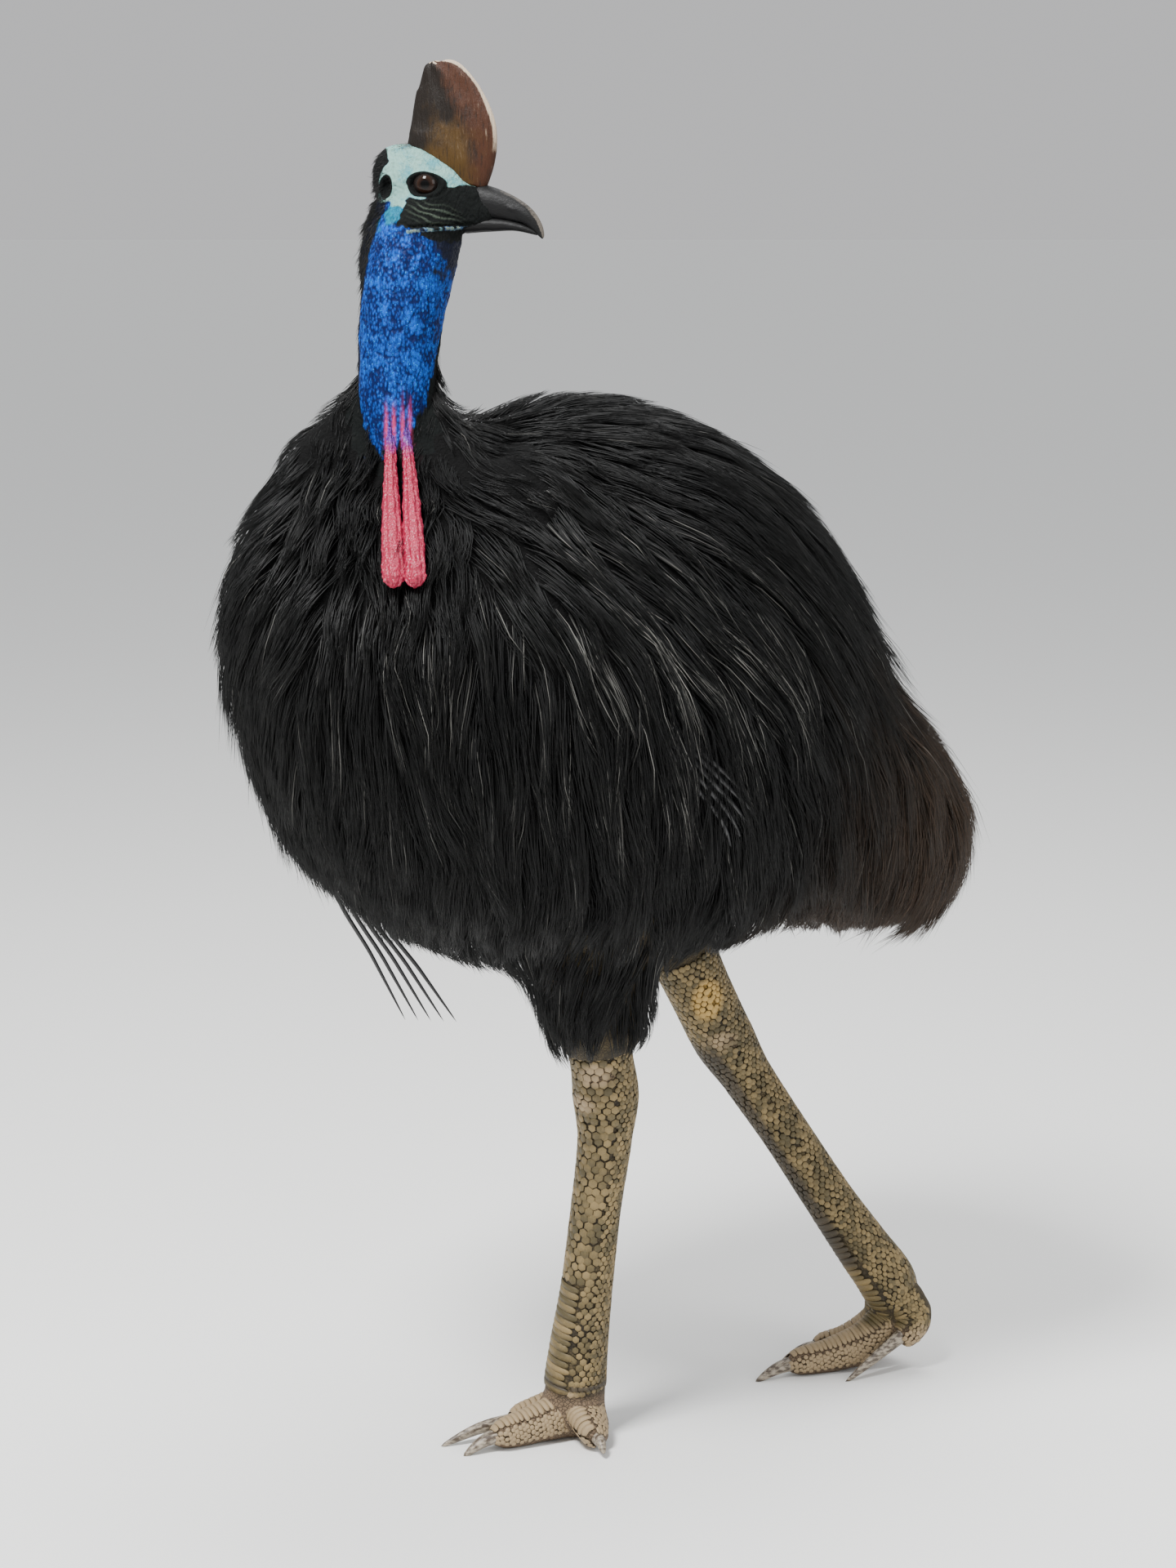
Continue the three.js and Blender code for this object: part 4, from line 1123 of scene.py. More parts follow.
@dataclass
class Skin:
    """One skin over the head, neck, body, legs and toes.

    Attributes:
        head_grain: The head's grain in metres, as core_grain and leg_grain are for body and legs.
        neck_share: The share of its faces that the neck keeps.
        core_depth: How far the body under the coat is below the coat's outline.
        collar_depth: The same for the collar.
        thigh_top: The height under which only what is outside the body is leg skin.
        neck_bottom: The height over which skin near the neck's axis is bare.
        neck_top: The height over which all the skin is bare.
        neck_reach: How near the axis that is.
        neck_overlap: How far the bare skin goes on under the collar's edge.
    """

    frame: Frame
    head: Head
    body: Body
    head_grain: float = 0.00145
    neck_share: float = 0.45
    leg_grain: float = 0.0046
    core_depth: float = 18.0
    core_grain: float = 0.0125
    collar_depth: float = 13.0
    thigh_top: float = 640.0
    neck_bottom: float = 1060.0
    neck_top: float = 1230.0
    neck_reach: float = 56.0
    neck_overlap: float = 5.0
    nodes: Sequence[str] = field(default_factory=lambda: (
        "head", "neck_upper", "neck_lower", "torso", "tail",
        *(f"{part}_{side.word}" for part in ("shank", "tarsus", "thigh") for side in Side),
        *(f"toe_{toe.value}_{side.word}" for toe in Toe for side in Side)))

    def head_and_neck(self) -> bpy.types.Mesh:
        """The head and neck with their lids, folds and pits."""
        head = self.head
        along = (0, 1, 0)
        forms = [Loft(NECK).form(48, 60),
                 head.turned(Loft(head.skull, along).form(48, 40)),
                 head.turned(Loft(head.throat, along).form(48, 30))]
        mesh = self.thinned(fused(self.frame.mesh("head_and_neck", forms), self.head_grain, 14))
        points = self.frame.points(mesh)
        self.frame.lift(mesh, self.relief(head.local(points)) + self.neck_relief(points))
        return mesh

    def thinned(self, mesh: bpy.types.Mesh) -> bpy.types.Mesh:
        """The same surface with fewer faces on the neck than on the head."""
        on_neck = 1 - smooth(self.frame.points(mesh)[:, 2], 1290, 1330)
        holder = hold(mesh)
        group = holder.vertex_groups.new(name="neck")
        for share in np.linspace(0.1, 1, 10):
            chosen = np.flatnonzero(np.abs(on_neck - share) <= 0.05)
            group.add([int(index) for index in chosen], float(share), "REPLACE")
        fewer = holder.modifiers.new("fewer", "DECIMATE")
        fewer.ratio = self.neck_share
        fewer.vertex_group = group.name
        fewer.vertex_group_factor = 8.0
        return baked(holder)

    def neck_relief(self, points: Array) -> Array:
        """Height of the neck's wrinkles, at points of the bird's frame."""
        stretched = points * np.array([1.0, 1.0, 0.42])
        folds = 0.55 * ripple(stretched, 13, 21) + 0.35 * ripple(stretched, 6.5, 22)
        creases = -0.7 * smooth(np.abs(ripple(points * np.array([0.5, 0.5, 1.0]), 26, 23)), 0.12, 0.0)
        return (folds + creases) * (1 - smooth(points[:, 2], 1340, 1380))

    def relief(self, local: Array) -> Array:
        """Height of the face's forms off the plain head, at points of the head's frame."""
        lids = self.head.lid_distance(local)
        outside = smooth(np.abs(local[:, 1]), 8, 16)
        upper = smooth(local[:, 2] - self.head.eye_at[2], -2, 5)
        band = side_view(local[:, 0], local[:, 2])
        lift = -5.5 * (1 - smooth(lids, 0.62, 1.08)) * outside
        lift += (2.4 + 1.8 * upper) * bell(lids, 1.16, 0.14 + 0.09 * upper) * outside
        lift += 1.1 * bell(lids, 1.58, 0.10) * outside * (1 - upper)
        lift += 2.6 * (1 - smooth(distance_to(band, self.head.brow), 2, 8.5)) * outside
        ear = self.head.ear_distance(local, (7.0, 20.0, 11.5))
        lift += -6.5 * (1 - smooth(ear, 0.45, 0.95)) + 1.5 * bell(ear, 1.18, 0.16)
        lift += self.mouth_relief(band, outside * smooth(local[:, 0], -6, 8))
        lift += 0.9 * near(band, (18, 0, -27), (36, 20, 17)) * outside * cheek_folds(band)
        cheek = near(band, (-26, 0, -36), (26, 20, 30)) * outside
        either = on_left(local)
        lift += 0.8 * cheek * ripple(either, 8, 6)
        return lift + 0.3 * ripple(either, 5, 7) * (1 - smooth(lids, 1.2, 1.0))

    def mouth_relief(self, band: Array, face: Array) -> Array:
        """The groove of the mouth behind the bill, with a fold below it."""
        line = self.head.mouth_line(24)
        gap = band[:, None] - line[None]
        nearest = np.abs(gap).sum(axis=2).argmin(axis=1)
        over = gap[np.arange(len(gap)), nearest]
        off = np.linalg.norm(over, axis=1) * np.sign(over[:, 2] + 1e-9)
        return face * (2.3 * bell(off, -3.4, 2.1) - 2.2 * bell(off, 0.5, 1.4) + bell(off, 4.2, 1.9))

    def paint(self, mesh: bpy.types.Mesh) -> None:
        """Stores the masks of the markings, of the painted shade and of the painted highlight on the skin.
        """
        points = self.frame.points(mesh)
        for name, mask in (self.face_marks(points) | limb_marks(points)).items():
            add_values(mesh, name, mask)

    def face_marks(self, points: Array) -> dict[str, Array]:
        """The markings of the head and neck, with the painted highlight on the cheek's folds, from 0 to 1,
        by name.
        """
        head = self.head
        local = head.local(points)
        warp = 2.6 * ripple(local, 21, 31) + 1.5 * ripple(local, 8, 32)
        warped = np.stack([local[:, 0] + warp, np.abs(local[:, 1]), local[:, 2] + 0.7 * warp], 1)
        x, z = warped[:, 0], warped[:, 2]
        view, true_view = side_view(x, z), side_view(local[:, 0], local[:, 2])
        on_head = smooth(local[:, 2], -70, -50)
        lids = head.lid_distance(local)
        under_eye = bell(lids, 1.36, 0.13) * smooth(-local[:, 2], 2, 8) * smooth(-local[:, 0], -13, -5)
        fold = true_view[:, None] - np.array([0, 0, -3.6]) - head.mouth_line(16)[None]
        gape = 1 - smooth(np.linalg.norm(fold, axis=2).min(axis=1), 1.4, 4.4)
        gape = gape * smooth(warped[:, 1], 8, 14) * (0.75 + 0.25 * ripple(local, 7, 33))
        light = np.maximum(under_eye, 0.7 * gape)
        # A muted olive behind the eye at the foot of the casque, and along the gape.
        grime = near(view, (-34, 0, 36), (20, 10, 16))
        # Painted highlight on the crests of the cheek's folds, where the relief rises.
        crinkle = near(true_view, (20, 0, -26), (36, 20, 15)) * smooth(cheek_folds(true_view), 0.2, 1.0)
        turquoise = np.maximum(near(view, (-18, 0, -36), (23, 20, 20)),
                               near(view, (-38, 0, -62), (16, 20, 22)) * 0.9)
        chin = smooth(x + 0.35 * z, 2, 26) * (1 - smooth(z, -46, -38)) * smooth(z, -112, -74)
        pale = self.pale_share(local, warped) * on_head * (1 - 0.35 * grime)
        return {"pale": np.maximum(pale, light),
                "black": self.black_share(points, local, warped) * (1 - light),
                "turquoise": turquoise * on_head, "navy": np.maximum(chin, nape_share(points, head)),
                "grime": np.maximum(grime, 0.8 * gape),
                "crinkle": crinkle, "stripe": self.stripes(points)}

    def pale_share(self, local: Array, warped: Array) -> Array:
        """How pale the skin over the eye, at the temple and beside the casque is, from 0 to 1.

        Args:
            local: Points of the head's frame.
            warped: The same points moved about a little, for uneven edges.

        Returns:
            One number for each point.
        """
        head = self.head
        x, z = warped[:, 0], warped[:, 2]
        height = local[:, 2] - head.eye_at[2] - 0.4 * local[:, 0]
        share = np.maximum.reduce([
            1 - smooth(distance_to(side_view(x, z), head.brow), 10, 14),
            (1 - smooth(head.lid_distance(local), 2.5, 3.3)) * smooth(height, 2, 8),
            smooth(-x, 6, 12) * smooth(z, -34, -24) * (1 - smooth(-x, 46, 52)),
            smooth(z, 20, 26) * (1 - smooth(-x, 50, 58))])
        return share * (1 - smooth(x, 54, 62))

    def black_share(self, points: Array, local: Array, warped: Array) -> Array:
        """How black the skin is, from 0 to 1.

        Args:
            points: Points of the bird's frame.
            local: The same points in the head's frame.
            warped: The local points moved about a little, for uneven edges.

        Returns:
            One number for each point.
        """
        x, y, z = warped.T
        below_eye = smooth(x, -13, -5) * smooth(z + 0.1 * x, -50, -42) * (1 - smooth(z - 0.30 * x, -9, -1))
        beside_bill = smooth(x, 30, 44) * smooth(z, -48, -36) * (1 - smooth(z + 0.55 * x, 26, 34))
        lid_edge = (1 - smooth(self.head.lid_distance(local), 1.32, 1.5)) * smooth(y, 8, 14)
        ear = 1 - smooth(self.head.ear_distance(local, (8.5, 22.0, 13.0)), 0.9, 1.15)
        behind = smooth(-x, 45, 52) * smooth(z, -60, -40) * (1 - smooth(z, 16, 30))
        collar = 1 - smooth(self.body.above_collar(points) + 3 * ripple(points, 12, 34), 0, 9)
        return np.maximum.reduce([below_eye, beside_bill, lid_edge, ear, behind, collar])

    def stripes(self, points: Array) -> Array:
        """Pink stripes on the blue just above the wattles."""
        bearing = np.arctan2(points[:, 1], points[:, 0]) + math.radians(25)
        off = bearing * 41
        height = smooth(points[:, 2], 1105, 1130) * (1 - smooth(points[:, 2], 1150, 1176))
        return height * sum(bell(off, place, 1.7) for place in (-13, -5, 4, 12))

    def leg(self, side: Side) -> bpy.types.Mesh:
        """A leg with its toes, flat where they rest on the floor."""
        forms = [Loft(LEGS[side]).form(32, 90)]
        forms += [Loft(flesh).form(24, 30) for flesh, _ in TOES[side].values()]
        mesh = fused(self.frame.mesh("leg", forms), self.leg_grain, 4)
        points = self.frame.points(mesh)
        points += normals_of(mesh) * (0.5 * ripple(points, 26, 41) - 0.7)[:, None]
        set_points(mesh, self.frame.to_metres(above_floor(points)))
        return mesh

    def build(self) -> bpy.types.Object:
        """Builds and dresses the skin."""
        trunk = [self.body.form(self.core_depth, 64, 48), self.body.collar_form(self.collar_depth, 48, 40)]
        core = fused(self.frame.mesh("core", trunk), self.core_grain, 4)
        thighs = [self.frame.mesh("thigh", [Loft(THIGHS[side]).form(32, 20)]) for side in Side]
        legs = [self.leg(side) for side in Side]
        mesh = united([core, *thighs, *legs, self.head_and_neck()])
        self.paint(mesh)
        finish = self.finishes_of(mesh)
        mesh.materials.clear()
        piece = show(mesh, "skin", self.nodes,
                     [SkinFinish().material(), LegFinish().material(), UnderCoatFinish().material()])
        mesh.polygons.foreach_set("material_index", finish.astype(np.int32))
        return piece

    def finishes_of(self, mesh: bpy.types.Mesh) -> Array:
        """Each face's finish: 0 for bare skin, 1 for the legs and 2 under the coat."""
        centres = np.empty(3 * len(mesh.polygons), np.float32)
        mesh.polygons.foreach_get("center", centres)
        centres = self.frame.to_bird(centres.reshape(-1, 3).astype(float))
        rays = centres - np.array(self.body.heart)
        outside_body = np.linalg.norm(rays, axis=1) - self.body.reach(unit(rays)) > 1 - self.core_depth
        beside = np.linalg.norm(centres[:, :2] - np.array(NECK_AXIS), axis=1)
        bare = (self.body.above_collar(centres) > -self.neck_overlap) & (beside < self.neck_reach)
        finish = np.full(len(centres), 2)
        finish[(centres[:, 2] < self.thigh_top) & outside_body] = 1
        finish[(bare & (centres[:, 2] > self.neck_bottom)) | (centres[:, 2] > self.neck_top)] = 0
        return finish


@dataclass
class Strands:
    """Tapered strands, with one row of every array for each.

    Attributes:
        lines: Their middle lines, strands by rows by three, in the bird's frame.
        side: The sideways direction at each point.
        outs: The outward direction at each point.
        width: The full width at each point.
    """

    lines: Array
    side: Array
    outs: Array
    width: Array

    def points(self) -> Array:
        """The corners of each strand's three-sided rings, and its tip, strands by points by three."""
        corners = np.array([[-0.5, -0.2], [0.5, -0.2], [0.0, 0.45]])
        across, up = ((corners[:, i] * self.width[:, :-1, None])[..., None] for i in (0, 1))
        rings = self.lines[:, :-1, None] + self.side[:, :-1, None] * across + self.outs[:, :-1, None] * up
        return np.concatenate([rings.reshape(len(rings), -1, 3), self.lines[:, -1:]], axis=1)


def strand_faces(rows: int) -> list[tuple[int, ...]]:
    """The faces of one strand: its sides, then its foot and its tip."""
    quads = [(3 * row + i, 3 * row + (i + 1) % 3, 3 * row + 3 + (i + 1) % 3, 3 * row + 3 + i)
             for row in range(rows - 2) for i in range(3)]
    last = 3 * (rows - 2)
    return [*quads, (2, 1, 0), *((last + i, last + (i + 1) % 3, last + 3) for i in range(3))]


def strand_mesh(frame: Frame, name: str, strands: Strands, unwrap: Array, within: Array,
                values: dict[str, Array]) -> bpy.types.Mesh:
    """Closed, tapered, three-sided strands.

    Args:
        frame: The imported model's frame.
        name: The mesh's name.
        strands: The strands.
        unwrap: Each strand's root on the unwrapped body, from 0 to 1.
        within: Each strand's place within its tuft's patch, from 0 to 1.
        values: Numbers for the material to read, one for each strand.

    Returns:
        The mesh, in metres.
    """
    points = strands.points()
    count, per = points.shape[:2]
    rows = strands.lines.shape[1]
    faces = strand_faces(rows)
    base = (np.arange(count) * per)[:, None]
    loops = (np.concatenate(faces)[None] + base).ravel()
    sizes = np.tile([len(face) for face in faces], count)
    mesh = bpy.data.meshes.new(name)
    mesh.vertices.add(count * per)
    mesh.loops.add(len(loops))
    mesh.polygons.add(len(sizes))
    mesh.loops.foreach_set("vertex_index", loops.astype(np.int32))
    mesh.polygons.foreach_set("loop_start", np.concatenate([[0], np.cumsum(sizes)[:-1]]).astype(np.int32))
    set_points(mesh, frame.to_metres(points.reshape(-1, 3)))
    row_of = np.concatenate([np.repeat(np.arange(rows - 1), 3), [rows - 1]]) / (rows - 1)
    add_values(mesh, "along", np.tile(row_of, count))
    for key, numbers in values.items():
        add_values(mesh, key, np.repeat(numbers, per))
    corner = np.concatenate([np.tile([0.0, 0.5, 1.0], rows - 1), [0.5]])
    u = unwrap[:, :1] + PATCH * (within[:, None] + corner[None] * 0.09) - PATCH / 2
    v = unwrap[:, 1:] + PATCH * (row_of[None] - 0.5)
    page = np.stack([u, np.broadcast_to(v, u.shape)], axis=2).reshape(-1, 2)
    layer = mesh.uv_layers.new(name="OFBake")
    layer.uv.foreach_set("vector", page[loops].astype(np.float32).ravel())
    mesh.validate()
    mesh.update(calc_edges=True)
    return mesh


@dataclass
class Bristles:
    """Short hairs on the nape, round the ears and at the foot of the casque."""

    frame: Frame
    head: Head
    seed: int = 5
    rows: int = 4
    root_depth: float = 0.8
    bottom: float = 1110.0

    def grow(self, skin: bpy.types.Object) -> None:
        """Grows the hairs, as one piece, from points of the finished skin."""
        draw = np.random.default_rng(self.seed)
        points, faces = self.frame.points(skin.data), normals_of(skin.data)
        chance, length, worn = self.zones(points)
        local = self.head.local(points)
        open_skin = (self.head.lid_distance(local) > 1.3) | (np.abs(local[:, 1]) < 10)
        taken = (points[:, 2] > self.bottom) & (draw.random(len(points)) < chance) & open_skin
        points, faces, local = points[taken], faces[taken], local[taken]
        count = len(points)
        length = length[taken] * draw.uniform(0.6, 1.25, count)
        backward = self.head.matrix @ np.array([-0.75, 0, -0.66])
        share = smooth(local[:, 2], -70, -30)[:, None]
        flow = backward * share + np.array([0, 0, -1.0]) * (1 - share) + draw.normal(0, 0.16, points.shape)
        flow = unit(flow - faces * (flow * faces).sum(axis=1, keepdims=True))
        along = np.linspace(0, 1, self.rows)[None, :, None]
        reach, lift = length[:, None, None], draw.uniform(0.05, 0.20, (count, 1, 1))
        lines = (points[:, None] + flow[:, None] * reach * along
                 + faces[:, None] * (reach * lift * along - self.root_depth * (1 - along)))
        outs = np.repeat(faces[:, None], self.rows, axis=1)
        side = np.repeat(np.cross(faces, flow)[:, None], self.rows, axis=1)
        width = (0.42 + 0.022 * length[:, None]) * (1 - 0.75 * along[0, :, 0][None])
        patches = unwrapped(points[:, 1] - 20, points[:, 0], (points[:, 2] - 1000) / 600)
        values = {"strand": draw.random(count), "mood": draw.random(count), "streak": np.zeros(count),
                  "worn": worn[taken]}
        mesh = strand_mesh(self.frame, "bristles", Strands(lines, side, outs, width),
                           patches, np.zeros(count), values)
        show(mesh, "neck_and_head_bristles", ["head", "neck_upper"],
             [FeatherFinish().material()])

    def zones(self, points: Array) -> tuple[Array, Array, Array]:
        """Each point's chance of a hair, the hair's length and how brown it is."""
        local = self.head.local(points)
        x, z = local[:, 0], local[:, 2]
        on_head = smooth(z, -60, -44)
        back = smooth(-x, 44, 52) * on_head * (1 - smooth(z, 14, 26))
        rim = bell(self.head.ear_distance(local, (9, 22, 14)), 1.0, 0.28)
        foot = near(side_view(x, z), (-34, 0, 32), (20, 10, 12))
        zones = ((nape_share(points, self.head), 16.0, 0.34), (back, 11.0, 0.24), (rim, 6.5, 0.40),
                 (foot, 6.0, 0.25), (0.012 + 0.02 * on_head, 3.4, 1.0))
        chance = sum(mask * density for mask, _, density in zones)
        length = sum(mask * size * density for mask, size, density in zones) / np.maximum(chance, 1e-6)
        return chance, length, 0.5 * foot


@dataclass
class Horn:
    """Casque, bill, eyes and claws: the head's and feet's hard parts."""

    frame: Frame
    head: Head
    nostril_rise: float = 2.2

    def casque(self) -> None:
        """The casque, with low wrinkles along its sides."""
        loft = Loft(self.head.casque, (0, 1, 0))

        def wrinkles(shares: Array, angles: Array) -> Array:
            """Shallow folds that run up the casque."""
            return (0.5 * np.sin(9 * angles + 4 * shares) * np.abs(np.cos(angles))
                    + 0.5 * np.sin(23 * shares + 3 * angles) * (1 - shares))

        mesh = self.frame.solid("casque", [self.head.turned(loft.form(64, 64, wrinkles))])
        local = self.head.local(self.frame.points(mesh))
        shares = np.linspace(0, 1, 60)
        spine = loft.spine(shares)
        middle = np.interp(local[:, 2], spine[:, 2], spine[:, 0])
        halves = np.interp(local[:, 2], spine[:, 2], loft.sizes(shares)[:, 1])
        ahead = (local[:, 0] - middle) / np.maximum(halves, 1)
        facing = normals_of(mesh) @ self.head.matrix
        # The edge mask: where the casque turns edge-on and faces forward. The finish paints a pale highlight
        # there.
        rim = 1 - smooth(np.abs(facing[:, 1]), 0.74, 0.93)
        rim *= smooth(facing[:, 0] + 0.6 * facing[:, 2], 0.05, 0.25) * smooth(local[:, 2], 8, 92)
        low = (1 - smooth(local[:, 2], 30, 100)) * smooth(ahead, -1.0, 0.1) * (1 - smooth(ahead, 0.2, 1.0))
        for name, mask in (("front", smooth(ahead, -0.65, 1.15)), ("edge", rim), ("low", low)):
            add_values(mesh, name, mask)
        show(mesh, "casque_horn", ["casque"], [CasqueFinish().material()])

    def bills(self) -> None:
        """Both halves of the bill, the upper one raised at the nostrils."""
        finish = BillFinish().material()

        def upper(shares: Array, angles: Array) -> Array:
            """A keel along the top and a sharp edge along the mouth."""
            keel = 0.9 * bell(angles, math.pi / 2, 0.35) * (1 - shares)
            return keel - 0.5 * bell(shares, 0.38, 0.06) * (np.abs(np.cos(angles)) > 0.8)

        for name, stations, relief in (("bill_upper", self.head.bill_upper, upper),
                                       ("bill_lower", self.head.bill_lower, None)):
            form = Loft(stations, (0, 1, 0)).form(40, 48, relief)
            mesh = self.frame.solid(name, [self.head.turned(form)])
            local = self.head.local(self.frame.points(mesh))
            # Worn grey at the tip.
            rubbed = smooth(local[:, 0], 104, 132) * 0.34
            if relief:
                spine = np.array(stations, float)
                middle, deep = (np.interp(local[:, 0], spine[:, 0], spine[:, i]) for i in (2, 4))
                # Painted highlight along the upper bill's ridge.
                ridge = smooth((local[:, 2] - middle) / np.maximum(deep, 1), 0.80, 0.97)
                rubbed = rubbed + 0.62 * ridge * smooth(local[:, 0], 62, 84)
                nostril = near(on_left(local), self.head.nostril_at, (9, 6, 3.4))
                self.frame.lift(mesh, self.nostril_rise * nostril)
            add_values(mesh, "rubbed", rubbed)
            show(mesh, f"{name}_horn", [name], [finish])

    def eyes(self) -> None:
        """Both eyeballs, which know how far each place is from where they look."""
        finish = EyeFinish().material()
        x, y, z = self.head.eye_at
        for side in Side:
            centre = np.array([x, side.value * y, z])
            form = ball_form(48, 32, self.head.eye_radius)
            move(form, self.head.out(vertices_of(form) + centre))
            mesh = self.frame.solid("eye", [form])
            gaze = unit(np.array([0.22, side.value, 0.0]))
            local = self.head.local(self.frame.points(mesh)) - centre
            add_values(mesh, "gaze", np.arccos(np.clip(unit(local) @ gaze, -1, 1)))
            show(mesh, f"eyeball_{side.word}", [f"eye_{side.word}"], [finish])

    def claws(self) -> None:
        """The six claws."""
        finish = ClawFinish().material()
        for side in Side:
            for toe, (_, claw) in TOES[side].items():
                mesh = self.frame.solid("claw", [Loft(claw).form(24, 24)])
                set_points(mesh, self.frame.to_metres(above_floor(self.frame.points(mesh))))
                name = f"claw_{toe.value}_{side.word}"
                show(mesh, f"{name}_horn", [name], [finish])


@dataclass
class Wattles:
    """Two lobes that hang from the front of the neck, turned to the left with the head."""

    frame: Frame
    body: Body
    bearing: float = math.radians(-25)
    top: float = 1146
    length: float = 150
    half_width: float = 10.4
    half_thick: float = 8.0
    clearance: float = 0.3
    throat_reach: float = 41.0
    profile: Sequence[tuple[float, float, float]] = (
        (0, 0, 0), (0.08, 0.35, 0.5), (0.35, 0.62, 0.7), (0.7, 0.95, 0.95), (0.93, 1, 1), (1, 0, 0))

    def breast_reach(self, height: float) -> float:
        """How far the coat is from the neck's axis at a height, in the wattles' direction."""
        inside, outside = 0.0, 2 * self.body.half_width
        heart = np.array(self.body.heart, float)
        for _ in range(20):
            middle = (inside + outside) / 2
            point = np.array([middle * math.cos(self.bearing), middle * math.sin(self.bearing), height])
            ray = (point - heart)[None]
            if np.linalg.norm(ray) < self.body.reach(unit(ray))[0]:
                inside = middle
            else:
                outside = middle
        return inside

    def stations(self, side: Side) -> list[Station]:
        """The sections of one lobe."""
        aside = np.array([-math.sin(self.bearing), math.cos(self.bearing)])
        lift = self.half_thick + 1
        rows = []
        for share, width, thick in self.profile:
            height = self.top - self.length * share
            reach = max(self.breast_reach(height), self.throat_reach - lift) + lift
            off = side.value * (self.half_width + self.clearance) * (0.75 + 0.25 * min(1.0, 2 * share))
            rows.append((reach * math.cos(self.bearing) + off * aside[0],
                         reach * math.sin(self.bearing) + off * aside[1],
                         height, width * self.half_width, thick * self.half_thick))
        return rows

    def build(self) -> None:
        """Both lobes, folded along their length."""
        finish = WattleFinish().material()
        aside = (-math.sin(self.bearing), math.cos(self.bearing), 0)

        def folds(shares: Array, angles: Array) -> Array:
            """Soft folds down the lobe, crossed by fine ones."""
            return (0.8 * np.cos(4 * angles) + 0.4 * np.sin(9 * angles + 6 * shares)
                    + 0.35 * np.sin(70 * shares + 2 * np.sin(3 * angles)))

        for side in Side:
            mesh = self.frame.solid("wattle", [Loft(self.stations(side), aside).form(56, 90, folds)])
            points = self.frame.points(mesh)
            self.frame.lift(mesh, -0.5 * ripple(points, 5.5, 51) - 0.35 * ripple(points, 3.2, 52))
            add_values(mesh, "top", smooth(points[:, 2], self.top - 45, self.top - 5))
            show(mesh, f"wattle_skin_{side.word}", [f"wattle_{side.word}"], [finish])


@dataclass
class Wings:
    """Hard quills of the small wings: one under the coat, the other clear below it."""

    frame: Frame
    body: Body
    hands: dict[Side, Sequence[float]] = field(default_factory=lambda: {
        Side.LEFT: (250, 190, 830), Side.RIGHT: (-250, 20, 780)})
    bends: dict[Side, Sequence[Sequence[float]]] = field(default_factory=lambda: {
        Side.LEFT: ((278, 250, 720), (278, 300, 740)), Side.RIGHT: ((-212, 18, 622), (-192, 63, 588))})
    tips: dict[Side, Sequence[Sequence[float]]] = field(default_factory=lambda: {
        Side.LEFT: ((225, 330, 590), (215, 420, 600)), Side.RIGHT: ((-200, 104, 449), (-180, 160, 444))})
    depths: dict[Side, float] = field(default_factory=lambda: {Side.LEFT: 14.0, Side.RIGHT: -3.0})
    count: int = 5
    radius: float = 2.9
    spread: float = 30
    root_depth: float = 50

    def laid(self, points: Array, side: Side) -> Array:
        """The points, or on the left side those under the coat that they are in line with."""
        return self.body.on(points, self.depths[side]) if side is Side.LEFT else points

    def build(self) -> None:
        """Both wings."""
        finish = QuillFinish().material()
        for side in Side:
            hand = np.array([self.hands[side]], float)
            depth = self.depths[side]
            wrist, root, end = (
                self.body.on(hand, below)[0] for below in (depth, self.root_depth, depth - self.radius))
            arm = Loft(((*root, 8, 15), (*wrist, 8, 17), (*end, 0, 0)), (0, 1, 0.2))
            forms = [arm.form(16, 12)]
            forms += [self.quill(side, wrist, share).form(10, 40) for share in np.linspace(0, 1, self.count)]
            mesh = self.frame.solid("wing", forms)
            show(mesh, f"wing_quills_{side.word}", [f"wing_{side.word}"], [finish])

    def quill(self, side: Side, wrist: Array, share: float) -> Loft:
        """One quill, from 0 for the first of the wing to 1 for its last."""
        bend, tip = (np.array(ends[side][0]) * (1 - share) + np.array(ends[side][1]) * share
                     for ends in (self.bends, self.tips))
        start = wrist + np.array([0, (share - 0.5) * self.spread, 0])
        start = start + (bend - start) * 0.02
        middle = self.body.on(((start + bend) / 2)[None], self.depths[side] - self.radius)[0]
        outer = self.laid(np.array([bend, bend + (tip - bend) * 0.55, tip]), side)
        thickness = self.radius * np.array([1.0, 1.0, 0.95, 0.8, 0.0])
        return Loft([(*point, half, half) for point, half in zip((start, middle, *outer), thickness)])


